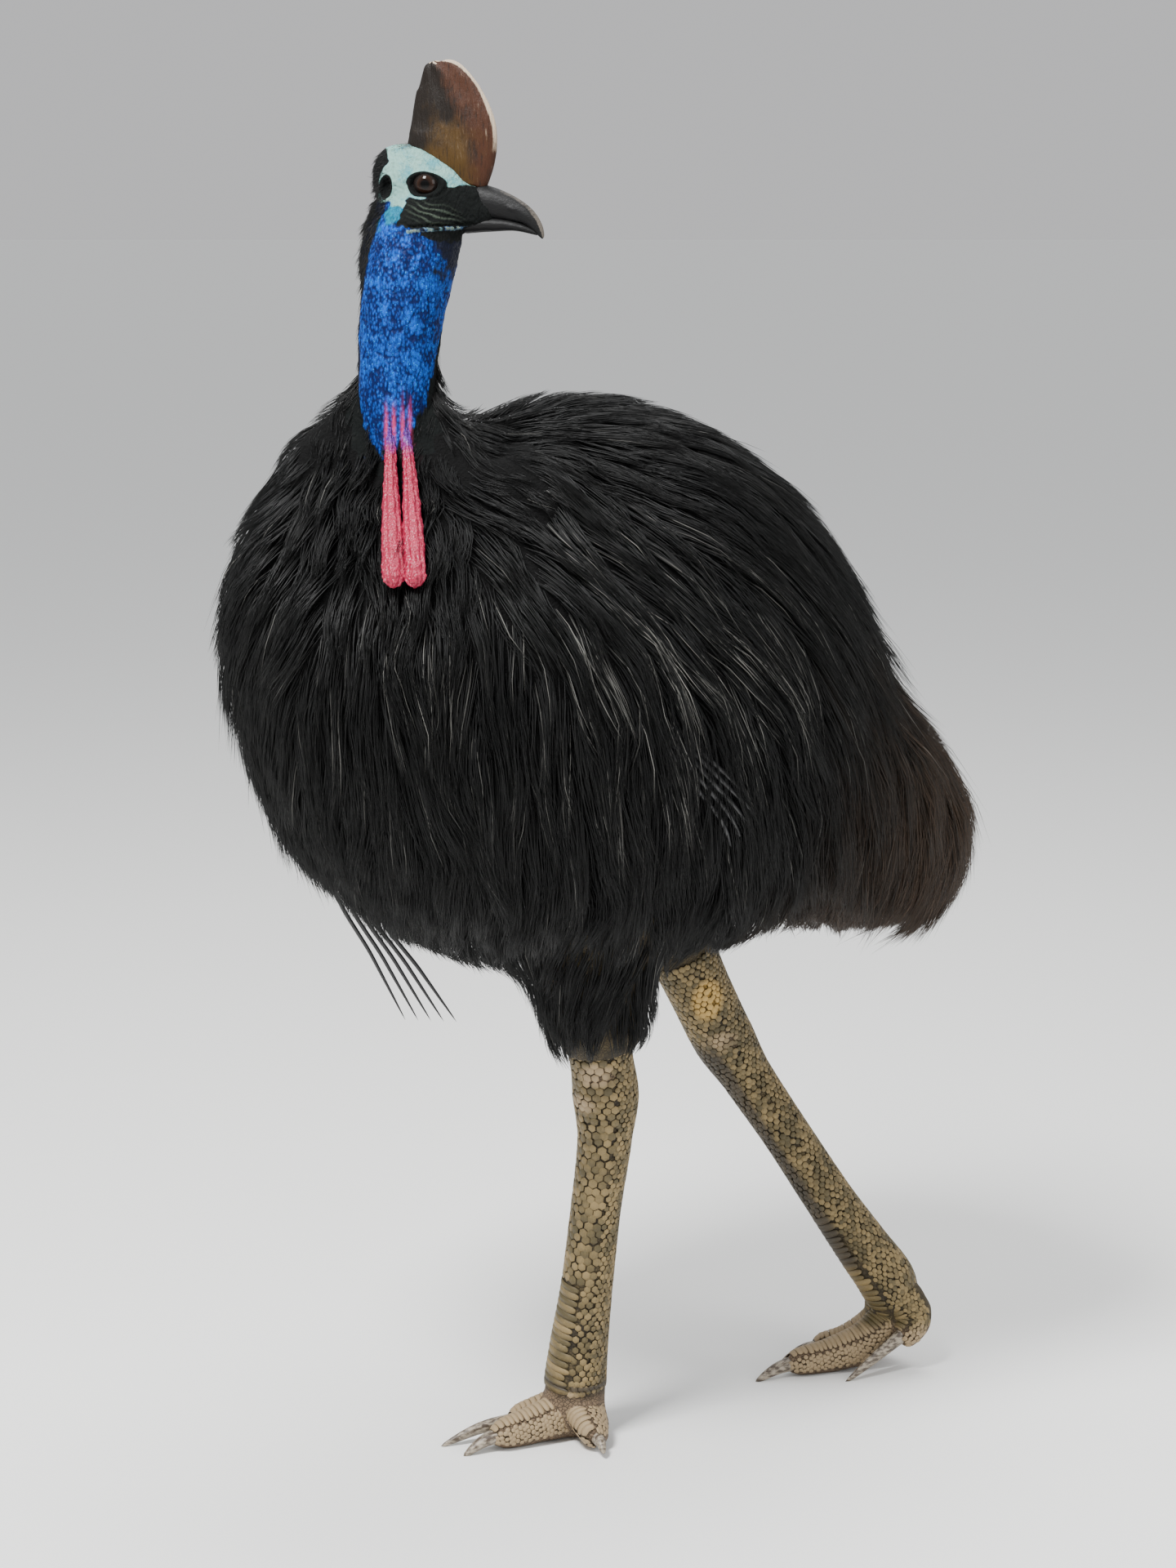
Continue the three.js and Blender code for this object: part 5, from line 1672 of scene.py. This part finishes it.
@dataclass
class Scales:
    """Horny plates over the legs: small ones all round, broad ones down the front and across the toes."""

    frame: Frame
    seed: int = 3
    front_size: dict[Side, float] = field(default_factory=lambda: {Side.LEFT: 10.0, Side.RIGHT: 7.6})
    back_size: float = 6.6
    broad_pitch: float = 8.2
    toe_pitch: float = 6.4
    toe_size: float = 5.4
    broad_half: float = 0.56
    broad_width: float = 25.0
    broad_height: float = 0.85
    crossing: dict[Side, float] = field(default_factory=lambda: {Side.LEFT: 190.0, Side.RIGHT: 205.0})
    foot: dict[Side, float] = field(default_factory=lambda: {Side.LEFT: 62.0, Side.RIGHT: 88.0})

    def domed(self) -> bmesh.types.BMesh:
        """A low six-sided plate, one across, with its foot at -1 and its top at 1."""
        form = bmesh.new()
        bmesh.ops.create_circle(form, segments=6, radius=1, cap_ends=True)
        grown = bmesh.ops.extrude_face_region(form, geom=form.faces[:], use_keep_orig=True)
        top = [part for part in grown["geom"] if isinstance(part, bmesh.types.BMVert)]
        bmesh.ops.scale(form, vec=(0.86, 0.86, 1), verts=top)
        bmesh.ops.translate(form, vec=(0, 0, 1.72), verts=top)
        faces = [part for part in grown["geom"] if isinstance(part, bmesh.types.BMFace)]
        bmesh.ops.poke(form, faces=faces, offset=0.2)
        bmesh.ops.translate(form, vec=(0, 0, -1), verts=form.verts)
        face_outward(form)
        return form

    def broad(self) -> bmesh.types.BMesh:
        """A pad that is long across the limb, with square ends."""
        form = ball_form(6, 10)
        for vertex in form.verts:
            across, along, high = vertex.co.z, vertex.co.x, vertex.co.y
            ring = math.sqrt(max(1 - across * across, 1e-6))
            fuller = (1 - abs(across) ** 8) ** 0.5 / ring
            vertex.co = (across, along * fuller, high * fuller)
        face_outward(form)
        return form

    def laid(self, form: bmesh.types.BMesh, loft: Loft, rows: Array) -> Plates:
        """Copies of a plate on a limb.

        Args:
            form: The plate, which is freed.
            loft: The limb.
            rows: For each copy its distance along the limb, angle, half along, half across and height.

        Returns:
            The copies' points, their faces, each point's copy, and how near the skin each point is.
        """
        plate = vertices_of(form)
        faces = [[vertex.index for vertex in face.verts] for face in form.faces]
        form.free()
        shares, _, travelled = loft.travelled()
        place, angle, half_along, half_across, height = (rows[:, i:i + 1] for i in range(5))
        radius = np.interp(place[:, 0], travelled, loft.sizes(shares).mean(axis=1))[:, None]
        share = np.interp(place + plate[None, :, 1] * half_along, travelled, shares)
        turn = angle + plate[None, :, 0] * half_across / np.maximum(radius, 4)
        lift = plate[None, :, 2] * height + 0.25
        points = loft.at(share.ravel(), turn.ravel(), lift.ravel())
        count = len(plate)
        all_faces = [[copy * count + index for index in face] for copy in range(len(rows)) for face in faces]
        foot = np.tile(np.clip(0.5 - plate[:, 2] / 2, 0, 1), len(rows))
        return points, all_faces, np.repeat(np.arange(len(rows)), count), foot

    def ring_rows(self, loft: Loft, start: float, end: float, middle: float, half: float, size: float,
                  draw: np.random.Generator) -> list[tuple[float, ...]]:
        """Small plates in staggered rows over one side of a limb.

        Args:
            loft: The limb.
            start: The distance along it where the rows begin.
            end: The distance where they end.
            middle: The angle of their middle round the limb.
            half: How far they go to either side of it.
            size: The plates' size.
            draw: The random numbers.

        Returns:
            A row for each plate, as laid reads them.
        """
        shares, _, travelled = loft.travelled()
        rows = []
        place, odd = start, 0.0
        while place < end:
            radius = float(np.interp(place, travelled, loft.sizes(shares).mean(axis=1)))
            count = max(1, round(2 * half * radius / size))
            for i in range(count):
                angle = middle - half + (i + 0.25 + odd) * 2 * half / count
                angle += draw.normal(0, 0.07 * size / radius)
                scale = draw.uniform(0.50, 0.60)
                rows.append((place + draw.normal(0, 0.07 * size), angle, size * scale * 1.06, size * scale,
                             draw.uniform(0.5, 0.8) * (0.35 + 0.04 * size)))
            place += size * 0.84
            odd = 0.5 - odd
        return rows

    def limb(self, side: Side, draw: np.random.Generator) -> list[Plates]:
        """The plates of a tarsus."""
        loft = Loft(LEGS[side])
        _, spine, travelled = loft.travelled()

        def at_height(height: float) -> float:
            """The distance along the leg where its middle passes a height."""
            return float(travelled[np.argmax(spine[:, 2] <= height)])

        top, crossing, end = at_height(520), at_height(self.crossing[side]), at_height(self.foot[side])
        front, size = math.pi / 2, self.front_size[side]
        small = []
        for start, stop, middle, half, grain in (
                (top, crossing, front, 80, size),
                (crossing, end, front + math.radians(66), 17, size * 0.8),
                (crossing, end, front - math.radians(66), 17, size * 0.8),
                (top, end, -front, 98, self.back_size)):
            small += self.ring_rows(loft, start, stop, middle, math.radians(half), grain, draw)
        broad = []
        place = crossing + self.broad_pitch / 2
        while place < end:
            pitch = self.broad_pitch * draw.uniform(0.85, 1.2)
            broad.append((place, front + draw.normal(0, 0.05), pitch * self.broad_half,
                          self.broad_width * draw.uniform(0.9, 1.05), self.broad_height))
            place += pitch
        return self.pair(loft, small, broad)

    def pair(self, loft: Loft, small: Sequence[Sequence[float]],
             broad: Sequence[Sequence[float]]) -> list[Plates]:
        """The small and the broad plates of a limb, laid on it."""
        return [self.laid(plate, loft, np.array(rows))
                for plate, rows in ((self.domed(), small), (self.broad(), broad))]

    def toe(self, flesh: Sequence[Station], draw: np.random.Generator) -> list[Plates]:
        """The plates of a toe: broad ones on top, small ones down its sides."""
        loft = Loft(flesh)
        length = float(loft.travelled()[2][-1])
        start = length * 0.05
        up = math.pi / 2
        broad = []
        place = start
        while place < length - 9:
            pitch = self.toe_pitch * draw.uniform(0.85, 1.15)
            radius = float(loft.sizes(np.array([min(place / length, 0.98)])).mean())
            broad.append((place, up + draw.normal(0, 0.04), pitch * self.broad_half, radius * 0.86,
                          self.broad_height))
            place += pitch
        small = []
        for sign in (-1, 1):
            small += self.ring_rows(loft, start, length - 6, up + sign * math.radians(84), math.radians(33),
                                    self.toe_size, draw)
        return self.pair(loft, small, broad)

    def build(self) -> None:
        """The plates of both legs."""
        draw = np.random.default_rng(self.seed)
        finish = ScaleFinish().material()
        for side in Side:
            sets = self.limb(side, draw)
            for flesh, _ in TOES[side].values():
                sets += self.toe(flesh, draw)
            self.piece(side, sets, finish, draw)

    def piece(self, side: Side, sets: Sequence[Plates], finish: bpy.types.Material,
              draw: np.random.Generator) -> None:
        """All the plates of one leg as one piece."""
        points = np.concatenate([part[0] for part in sets])
        tones = np.concatenate([draw.random(part[2].max() + 1)[part[2]] for part in sets])
        faces: list[list[int]] = []
        start = 0
        for part in sets:
            faces += [[start + index for index in face] for face in part[1]]
            start += len(part[0])
        points = above_floor(points)
        mesh = bpy.data.meshes.new("plates")
        mesh.from_pydata(self.frame.to_metres(points).tolist(), [], faces)
        add_values(mesh, "tone", tones)
        # How near the skin each point is: the finish darkens it as painted shade.
        add_values(mesh, "foot", np.concatenate([part[3] for part in sets]))
        for name, mask in limb_marks(points).items():
            add_values(mesh, name, mask)
        page = unwrapped(points[:, 1] - 400, points[:, 0], points[:, 2] / 700)
        corners = np.empty(len(mesh.loops), np.int32)
        mesh.loops.foreach_get("vertex_index", corners)
        layer = mesh.uv_layers.new(name="OFBake")
        layer.uv.foreach_set("vector", page[corners].astype(np.float32).ravel())
        nodes = [f"tarsus_{side.word}", *(f"toe_{toe.value}_{side.word}" for toe in Toe)]
        show(mesh, f"leg_plates_{side.word}", nodes, [finish])


@dataclass
class Tufts:
    """Tufts of feathers, with one row of every array for each.

    Attributes:
        roots: Where they start, on the coat's outline.
        lines: Their middle lines, tufts by rows by three.
        outs: The outward direction at each point of the lines.
        lengths: Their lengths.
        depths: How deep their roots are.
        moods: How light the clump that each belongs to is, from 0 to 1.
        rises: How far the tips of that clump stand out.
        patches: Their places on the unwrapped body.
    """

    roots: Array
    lines: Array
    outs: Array
    lengths: Array
    depths: Array
    moods: Array
    rises: Array
    patches: Array

    def chosen(self, where: Array) -> "Tufts":
        """The tufts that a mask picks."""
        return Tufts(*(part[where] for part in vars(self).values()))

    def repeated(self, times: int) -> "Tufts":
        """Every tuft several times in a row."""
        return Tufts(*(np.repeat(part, times, axis=0) for part in vars(self).values()))


@dataclass
class Coat:
    """Long, hair-like feathers in tufts that lie along the body and gather in clumps.

    Attributes:
        spacing: How far apart the tufts are, in metres.
        scatter: How far each is moved from its even place.
        strands: How many strands a tuft has.
        rows: Points along a strand.
        width: A strand's width near its root.
        depth: How deep the roots are on the body.
        thigh_lift: How far the thighs' feathers reach off them.
        leader_share: The share of tufts that others gather round.
        gather: How far the others' tips go towards them.
        hem: The height that no root is below.
        droop: How far feathers hang away from a surface that faces down.
        neck_reach: How near its axis the neck is kept bare.
        neck_gap: How far over the collar's edge that starts.
        ragged: How uneven that edge is.
        thigh_top: Where the thighs' pieces end.
        collar_bottom: Where the collar's pieces start.
        flank_front: Where the breast's pieces end and the flank's start.
        flank_back: Where the flank's pieces end and the rump's start.
    """

    frame: Frame
    body: Body
    seed: int = 11
    spacing: float = 0.0145
    scatter: float = 6.0
    strands: int = 6
    rows: int = 5
    width: float = 1.5
    depth: float = 30.0
    thigh_lift: float = 14.0
    leader_share: float = 0.18
    gather: float = 0.66
    hem: float = 500.0
    droop: float = 0.34
    neck_reach: float = 60.0
    neck_gap: float = 3.0
    ragged: float = 5.0
    thigh_top: float = 612.0
    collar_bottom: float = 1040.0
    flank_front: float = 150.0
    flank_back: float = 400.0

    def ground(self) -> bpy.types.Mesh:
        """The surface that the coat's tips reach, one even point for each tuft."""
        thighs = []
        for side in Side:
            grown = [(x, y, z, a + self.thigh_lift, b + self.thigh_lift) for x, y, z, a, b in THIGHS[side]]
            thighs.append(Loft(grown).form(32, 20))
        forms = [self.body.form(0, 72, 56), self.body.collar_form(0, 40, 40), *thighs]
        return fused(self.frame.mesh("ground", forms), self.spacing, 3)

    def lie(self, points: Array, faces: Array) -> Array:
        """Which way the coat lies: away from the foot of the neck, and more downwards further off."""
        away = points - np.array(self.body.neck_foot)
        gap = np.linalg.norm(away, axis=1)
        hang = (0.12 + 0.73 * np.minimum(1, gap / 800))[:, None]
        down = np.array([0, 0, -1.0])
        flow = unit(away) * (1 - hang) + down * hang
        beside = np.linalg.norm(points[:, :2], axis=1)
        throat = smooth(points[:, 2], 1060, 1130) * (1 - smooth(beside, 70, 150))
        under = smooth(-faces[:, 2], 0.1, 0.7)
        for share in (throat, 1 - smooth(points[:, 2], 560, 640), under):
            flow = flow * (1 - share[:, None]) + down * share[:, None]
        under = under[:, None]
        flow = unit(flow - faces * (flow * faces).sum(axis=1, keepdims=True) * (0.94 - 0.6 * under))
        swirl = 0.16 * ripple(points, 190, 1) + 0.13 * ripple(points, 70, 2)
        return unit(flow + np.cross(faces, flow) * swirl[:, None])

    def lengths(self, points: Array, faces: Array) -> Array:
        """How long the feathers are, by their place."""
        gap = np.linalg.norm(points - np.array(self.body.neck_foot), axis=1)
        length = 84 + 94 * smooth(gap, 60, 420) + 30 * smooth(gap, 420, 700)
        length = length * (1 - 0.36 * smooth(points[:, 2], 1070, 1190))
        length = length * (1 - 0.68 * smooth(-faces[:, 2], 0.0, 0.7))
        thigh = 1 - smooth(points[:, 2], 540, 640)
        return length * (1 - thigh) + 76 * thigh

    def depths(self, points: Array) -> Array:
        """How deep under the surface the roots are."""
        depth = self.depth * (1 - 0.55 * smooth(points[:, 2], 1030, 1120))
        thigh = 1 - smooth(points[:, 2], 590, 660)
        return depth * (1 - thigh) + 1.2 * self.thigh_lift * thigh

    def settled(self, tree: BVHTree, points: Array) -> tuple[Array, Array]:
        """Points brought to the surface, and the surface's normals there."""
        placed, normals = np.empty_like(points), np.empty_like(points)
        for i, point in enumerate(self.frame.to_metres(points)):
            placed[i], normals[i] = tree.find_nearest(Vector(point))[:2]
        return self.frame.to_bird(placed), normals

    def leaders(self, roots: Array, draw: np.random.Generator) -> Array:
        """The tuft that each tuft bends towards, the nearest of the chosen ones."""
        chosen = np.flatnonzero(draw.random(len(roots)) < self.leader_share)
        tree = KDTree(len(chosen))
        for index in chosen:
            tree.insert(roots[index], int(index))
        tree.balance()
        return np.array([tree.find(root)[1] for root in roots])

    def tufts(self, draw: np.random.Generator) -> Tufts:
        """Lays every tuft on the body."""
        ground = self.ground()
        form = bmesh.new()
        form.from_mesh(ground)
        tree = BVHTree.FromBMesh(form)
        form.free()
        roots = self.frame.to_bird(points_of(ground))
        bpy.data.meshes.remove(ground)
        roots, faces = self.settled(tree, roots + draw.uniform(-self.scatter, self.scatter, roots.shape))
        above = self.body.above_collar(roots) + draw.normal(0, self.ragged, len(roots))
        beside = np.linalg.norm(roots[:, :2] - np.array(NECK_AXIS), axis=1)
        bare = (above > self.neck_gap) & (beside < self.neck_reach) & (roots[:, 2] > self.collar_bottom)
        keep = ~bare & (roots[:, 2] > self.hem)
        return self.combed(tree, roots[keep], faces[keep], draw)

    def combed(self, tree: BVHTree, roots: Array, faces: Array, draw: np.random.Generator) -> Tufts:
        """The tufts that grow from these roots, bent along the body and gathered in clumps.

        Args:
            tree: The surface that the coat's tips reach.
            roots: Where the tufts start.
            faces: The surface's normals there.
            draw: The random numbers.

        Returns:
            The finished tufts.
        """
        count = len(roots)
        leader = self.leaders(roots, draw)
        length = self.lengths(roots, faces) * (0.84 + 0.3 * draw.random(count))[leader]
        length = length * draw.uniform(0.88, 1.12, count)
        step = length / (self.rows - 1)
        lines, outs = [roots], [faces]
        bend = draw.normal(0, 0.10, count)
        for row in range(1, self.rows):
            here, face = lines[-1], outs[-1]
            flow = self.lie(here, face)
            wave = bend * (math.sin(2.2 * row) + 0.5)
            target = here + (flow + np.cross(face, flow) * wave[:, None]) * step[:, None]
            placed, normals = self.settled(tree, target)
            under = smooth(-normals[:, 2], 0.1, 0.8)[:, None] * self.droop
            lines.append(placed * (1 - under) + target * under)
            outs.append(unit(normals + 0.6 * face))
        line = np.stack(lines, 1)
        pull = (self.gather * np.linspace(0, 1, self.rows) ** 1.4)[None, :, None]
        line = line * (1 - pull) + line[leader] * pull
        mood, rise = draw.random(count)[leader], draw.exponential(3.2, count)[leader]
        LOG.info("coat: %d tufts", count)
        return Tufts(roots, line, np.stack(outs, 1), length, self.depths(roots), mood, rise,
                     self.unwrap(roots))

    def unwrap(self, roots: Array) -> Array:
        """The roots' places on the body's shape, spread flat round its heart."""
        heart = np.array(self.body.heart, float)
        rays = unit(roots - heart)
        pole = unit(np.array(self.body.neck_foot) - heart)
        across = np.array([1.0, 0, 0])
        polar = np.arccos(np.clip(rays @ pole, -1, 1)) / math.pi
        return unwrapped(rays @ np.cross(pole, across), rays @ across, polar)

    def grow(self) -> None:
        """Grows every tuft and shows them in pieces."""
        draw = np.random.default_rng(self.seed)
        tufts = self.tufts(draw)
        roots = tufts.roots
        finish = FeatherFinish().material()
        thigh = roots[:, 2] < self.thigh_top
        collar = roots[:, 2] > self.collar_bottom
        breast = roots[:, 1] < self.flank_front
        rump = roots[:, 1] >= self.flank_back
        regions = {}
        for side in Side:
            here = roots[:, 0] * side.value > 0
            trunk = here & ~thigh & ~collar
            regions[f"collar_feathers_{side.word}"] = (collar & here, ["torso"])
            regions[f"thigh_feathers_{side.word}"] = (thigh & here, [f"thigh_{side.word}"])
            regions[f"breast_feathers_{side.word}"] = (trunk & breast, ["torso"])
            regions[f"flank_feathers_{side.word}"] = (trunk & ~breast & ~rump, ["torso"])
            regions[f"rump_feathers_{side.word}"] = (trunk & rump, ["torso", "tail"])
        for name, (where, nodes) in regions.items():
            mesh = self.strands_of(name, tufts.chosen(where), draw)
            show(mesh, name, nodes, [finish])

    def strands_of(self, name: str, tufts: Tufts, draw: np.random.Generator) -> bpy.types.Mesh:
        """The strands of one piece of the coat.

        Args:
            name: The piece's name.
            tufts: Its tufts.
            draw: The random numbers.

        Returns:
            The piece's mesh, in metres.
        """
        strands = self.spread(tufts, draw)
        moods = np.repeat(tufts.moods, self.strands)
        total = len(moods)
        start = strands.lines[:, 0]
        place = np.abs(start)
        # Painted highlights: grey on some strands of the upper flank, where the light falls, and on a patch
        # at the shoulder.
        highlight_zone = near(place, (225, 150, 985), (150, 230, 190))
        chance = 0.005 + (0.010 + 0.45 * highlight_zone) * moods ** 1.5
        streak = (draw.random(total) < chance) * draw.uniform(0.2, 0.6 + 0.4 * highlight_zone)
        shoulder = near(place, (152, 56, 1062), (30, 26, 26))
        streak = np.maximum(streak, 0.7 * (shoulder > draw.random(total)))
        worn = smooth(start[:, 1], 300, 520) * smooth(-start[:, 2], -1040, -840)
        worn = worn * draw.uniform(0.2, 1, total)
        values = {"strand": draw.random(total), "streak": streak, "worn": worn, "mood": moods}
        within = np.tile(np.arange(self.strands), len(tufts.roots)) / self.strands
        patches = np.repeat(tufts.patches, self.strands, axis=0)
        return strand_mesh(self.frame, name, strands, patches, within, values)

    def spread(self, tufts: Tufts, draw: np.random.Generator) -> Strands:
        """The strands of each tuft, spread round its line.

        Args:
            tufts: The tufts.
            draw: The random numbers.

        Returns:
            The strands, tuft by tuft.
        """
        ahead = unit(np.gradient(tufts.lines, axis=1))
        side = np.repeat(unit(np.cross(tufts.outs, ahead)), self.strands, axis=0)
        ahead = np.repeat(ahead, self.strands, axis=0)
        tufts = tufts.repeated(self.strands)
        total = len(tufts.roots)
        share = np.linspace(0, 1, self.rows)[None]
        depth, length = tufts.depths[:, None], tufts.lengths[:, None]
        spot = draw.uniform(-1, 1, (3, total, 1))
        thin = smooth(depth, 4, 26)
        narrow = 1 - 0.62 * smooth(share, 0.1, 0.8) + 0.25 * smooth(share, 0.75, 1.0)
        sideways = spot[0] * (4.2 + 5.0 * thin) * narrow
        sideways = sideways + draw.normal(0, 1.4, (total, 1)) * share * np.sin(
            share * 5.0 + draw.uniform(0, 6.3, (total, 1)))
        outward = -depth * (1 - share) ** 1.7 + spot[1] * 2.5 * share
        outward = outward + thin * (tufts.rises[:, None] * share ** 1.5
                                    + draw.exponential(2.6, (total, 1)) * share ** 2)
        slide = spot[2] * self.scatter + draw.normal(0, 0.07, (total, 1)) * length * share
        lines = (tufts.lines + side * sideways[..., None] + tufts.outs * outward[..., None]
                 + ahead * slide[..., None])
        width = self.width * (0.7 + 0.6 * draw.random((total, 1))) * (1 - 0.8 * share ** 1.5)
        return Strands(lines, side, tufts.outs, width * (0.6 + 0.4 * thin))


@dataclass
class Studio:
    """A pale floor, soft light and the photograph's camera.

    Attributes:
        camera_at: The camera's place in the bird's frame.
        azimuth: Which way it looks, in degrees to the left of +Y.
        pitch: How far down it looks, in degrees.
        lens: Its focal length.
        floor_radius: The floor's radius in metres.
        horizon: The surround's colour at the floor's edge, as wall and ceiling are above it.
        lamps: Each lamp's name, place in metres, power and size.
        aim: What the lamps face.
    """

    frame: Frame
    camera_at: Sequence[float] = (3148.1, -1587.4, 1385.0)
    azimuth: float = 60
    pitch: float = 10
    lens: float = 77.04
    floor_radius: float = 120.0
    horizon: Colour = (0.62, 0.62, 0.63)
    wall: Colour = (0.93, 0.94, 0.96)
    ceiling: Colour = (0.58, 0.59, 0.61)
    lamps: Sequence[tuple[str, Sequence[float], float, float]] = (
        ("key", (1.1, -2.2, 4.0), 330, 1.1), ("fill", (3.8, 1.6, 2.4), 60, 2.2),
        ("top", (-0.6, 0.9, 4.4), 110, 2.4))
    aim: Sequence[float] = (0, 0, 0.85)

    def build(self) -> None:
        """Builds floor, light and camera."""
        self.floor()
        self.light()
        self.camera()

    def floor(self) -> None:
        """A wide round floor."""
        form = bmesh.new()
        bmesh.ops.create_circle(form, cap_ends=True, segments=96, radius=self.floor_radius)
        mesh = bpy.data.meshes.new("floor")
        form.to_mesh(mesh)
        form.free()
        floor = hold(mesh)
        mesh.materials.append(FloorFinish().material())

    def light(self) -> None:
        """A bright surround, and a key, a fill and a top lamp that face the bird."""
        world = bpy.data.worlds.new("studio")
        bpy.context.scene.world = world
        world.use_nodes = True
        tree = world.node_tree
        where = add_node(tree, "ShaderNodeTexCoord", {}, {}, "Generated")
        height = add_node(tree, "ShaderNodeSeparateXYZ", {}, {0: where}, "Z")
        shade = add_node(tree, "ShaderNodeValToRGB", {"stops": [
            (0.0, self.horizon), (0.10, self.horizon), (0.28, self.wall), (0.9, self.ceiling)]},
            {"Fac": height})
        tree.links.new(shade.socket, tree.nodes["Background"].inputs["Color"])
        for name, place, power, size in self.lamps:
            lamp = bpy.data.lights.new(name, "AREA")
            lamp.energy = power
            lamp.size = size
            stand = bpy.data.objects.new(name, lamp)
            bpy.context.scene.collection.objects.link(stand)
            stand.location = place
            beam = Vector(self.aim) - Vector(place)
            stand.rotation_euler = beam.to_track_quat("-Z", "Y").to_euler()

    def camera(self) -> None:
        """The photograph's camera."""
        lens = bpy.data.cameras.new("camera")
        lens.lens = self.lens
        lens.sensor_width = 36
        lens.clip_start, lens.clip_end = 0.05, 100
        camera = bpy.data.objects.new("camera", lens)
        bpy.context.scene.collection.objects.link(camera)
        camera.location = self.frame.to_metres(np.array(self.camera_at))
        camera.rotation_euler = (math.radians(90 - self.pitch), 0, math.radians(self.azimuth))
        bpy.context.scene.camera = camera


def main() -> None:
    """Builds the cassowary and its studio."""
    logging.basicConfig(level=logging.INFO, format="%(name)s: %(message)s")
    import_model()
    head, body = Head(), Body()
    frame = Frame(head.eye_centre(Side.RIGHT))
    LOG.info("shift %s", frame.shift)
    Studio(frame).build()
    skin = Skin(frame, head, body).build()
    Bristles(frame, head).grow(skin)
    Scales(frame).build()
    horn = Horn(frame, head)
    horn.casque()
    horn.bills()
    horn.eyes()
    horn.claws()
    Wattles(frame, body).build()
    Wings(frame, body).build()
    Coat(frame, body).grow()


if __name__ == "__main__":
    main()
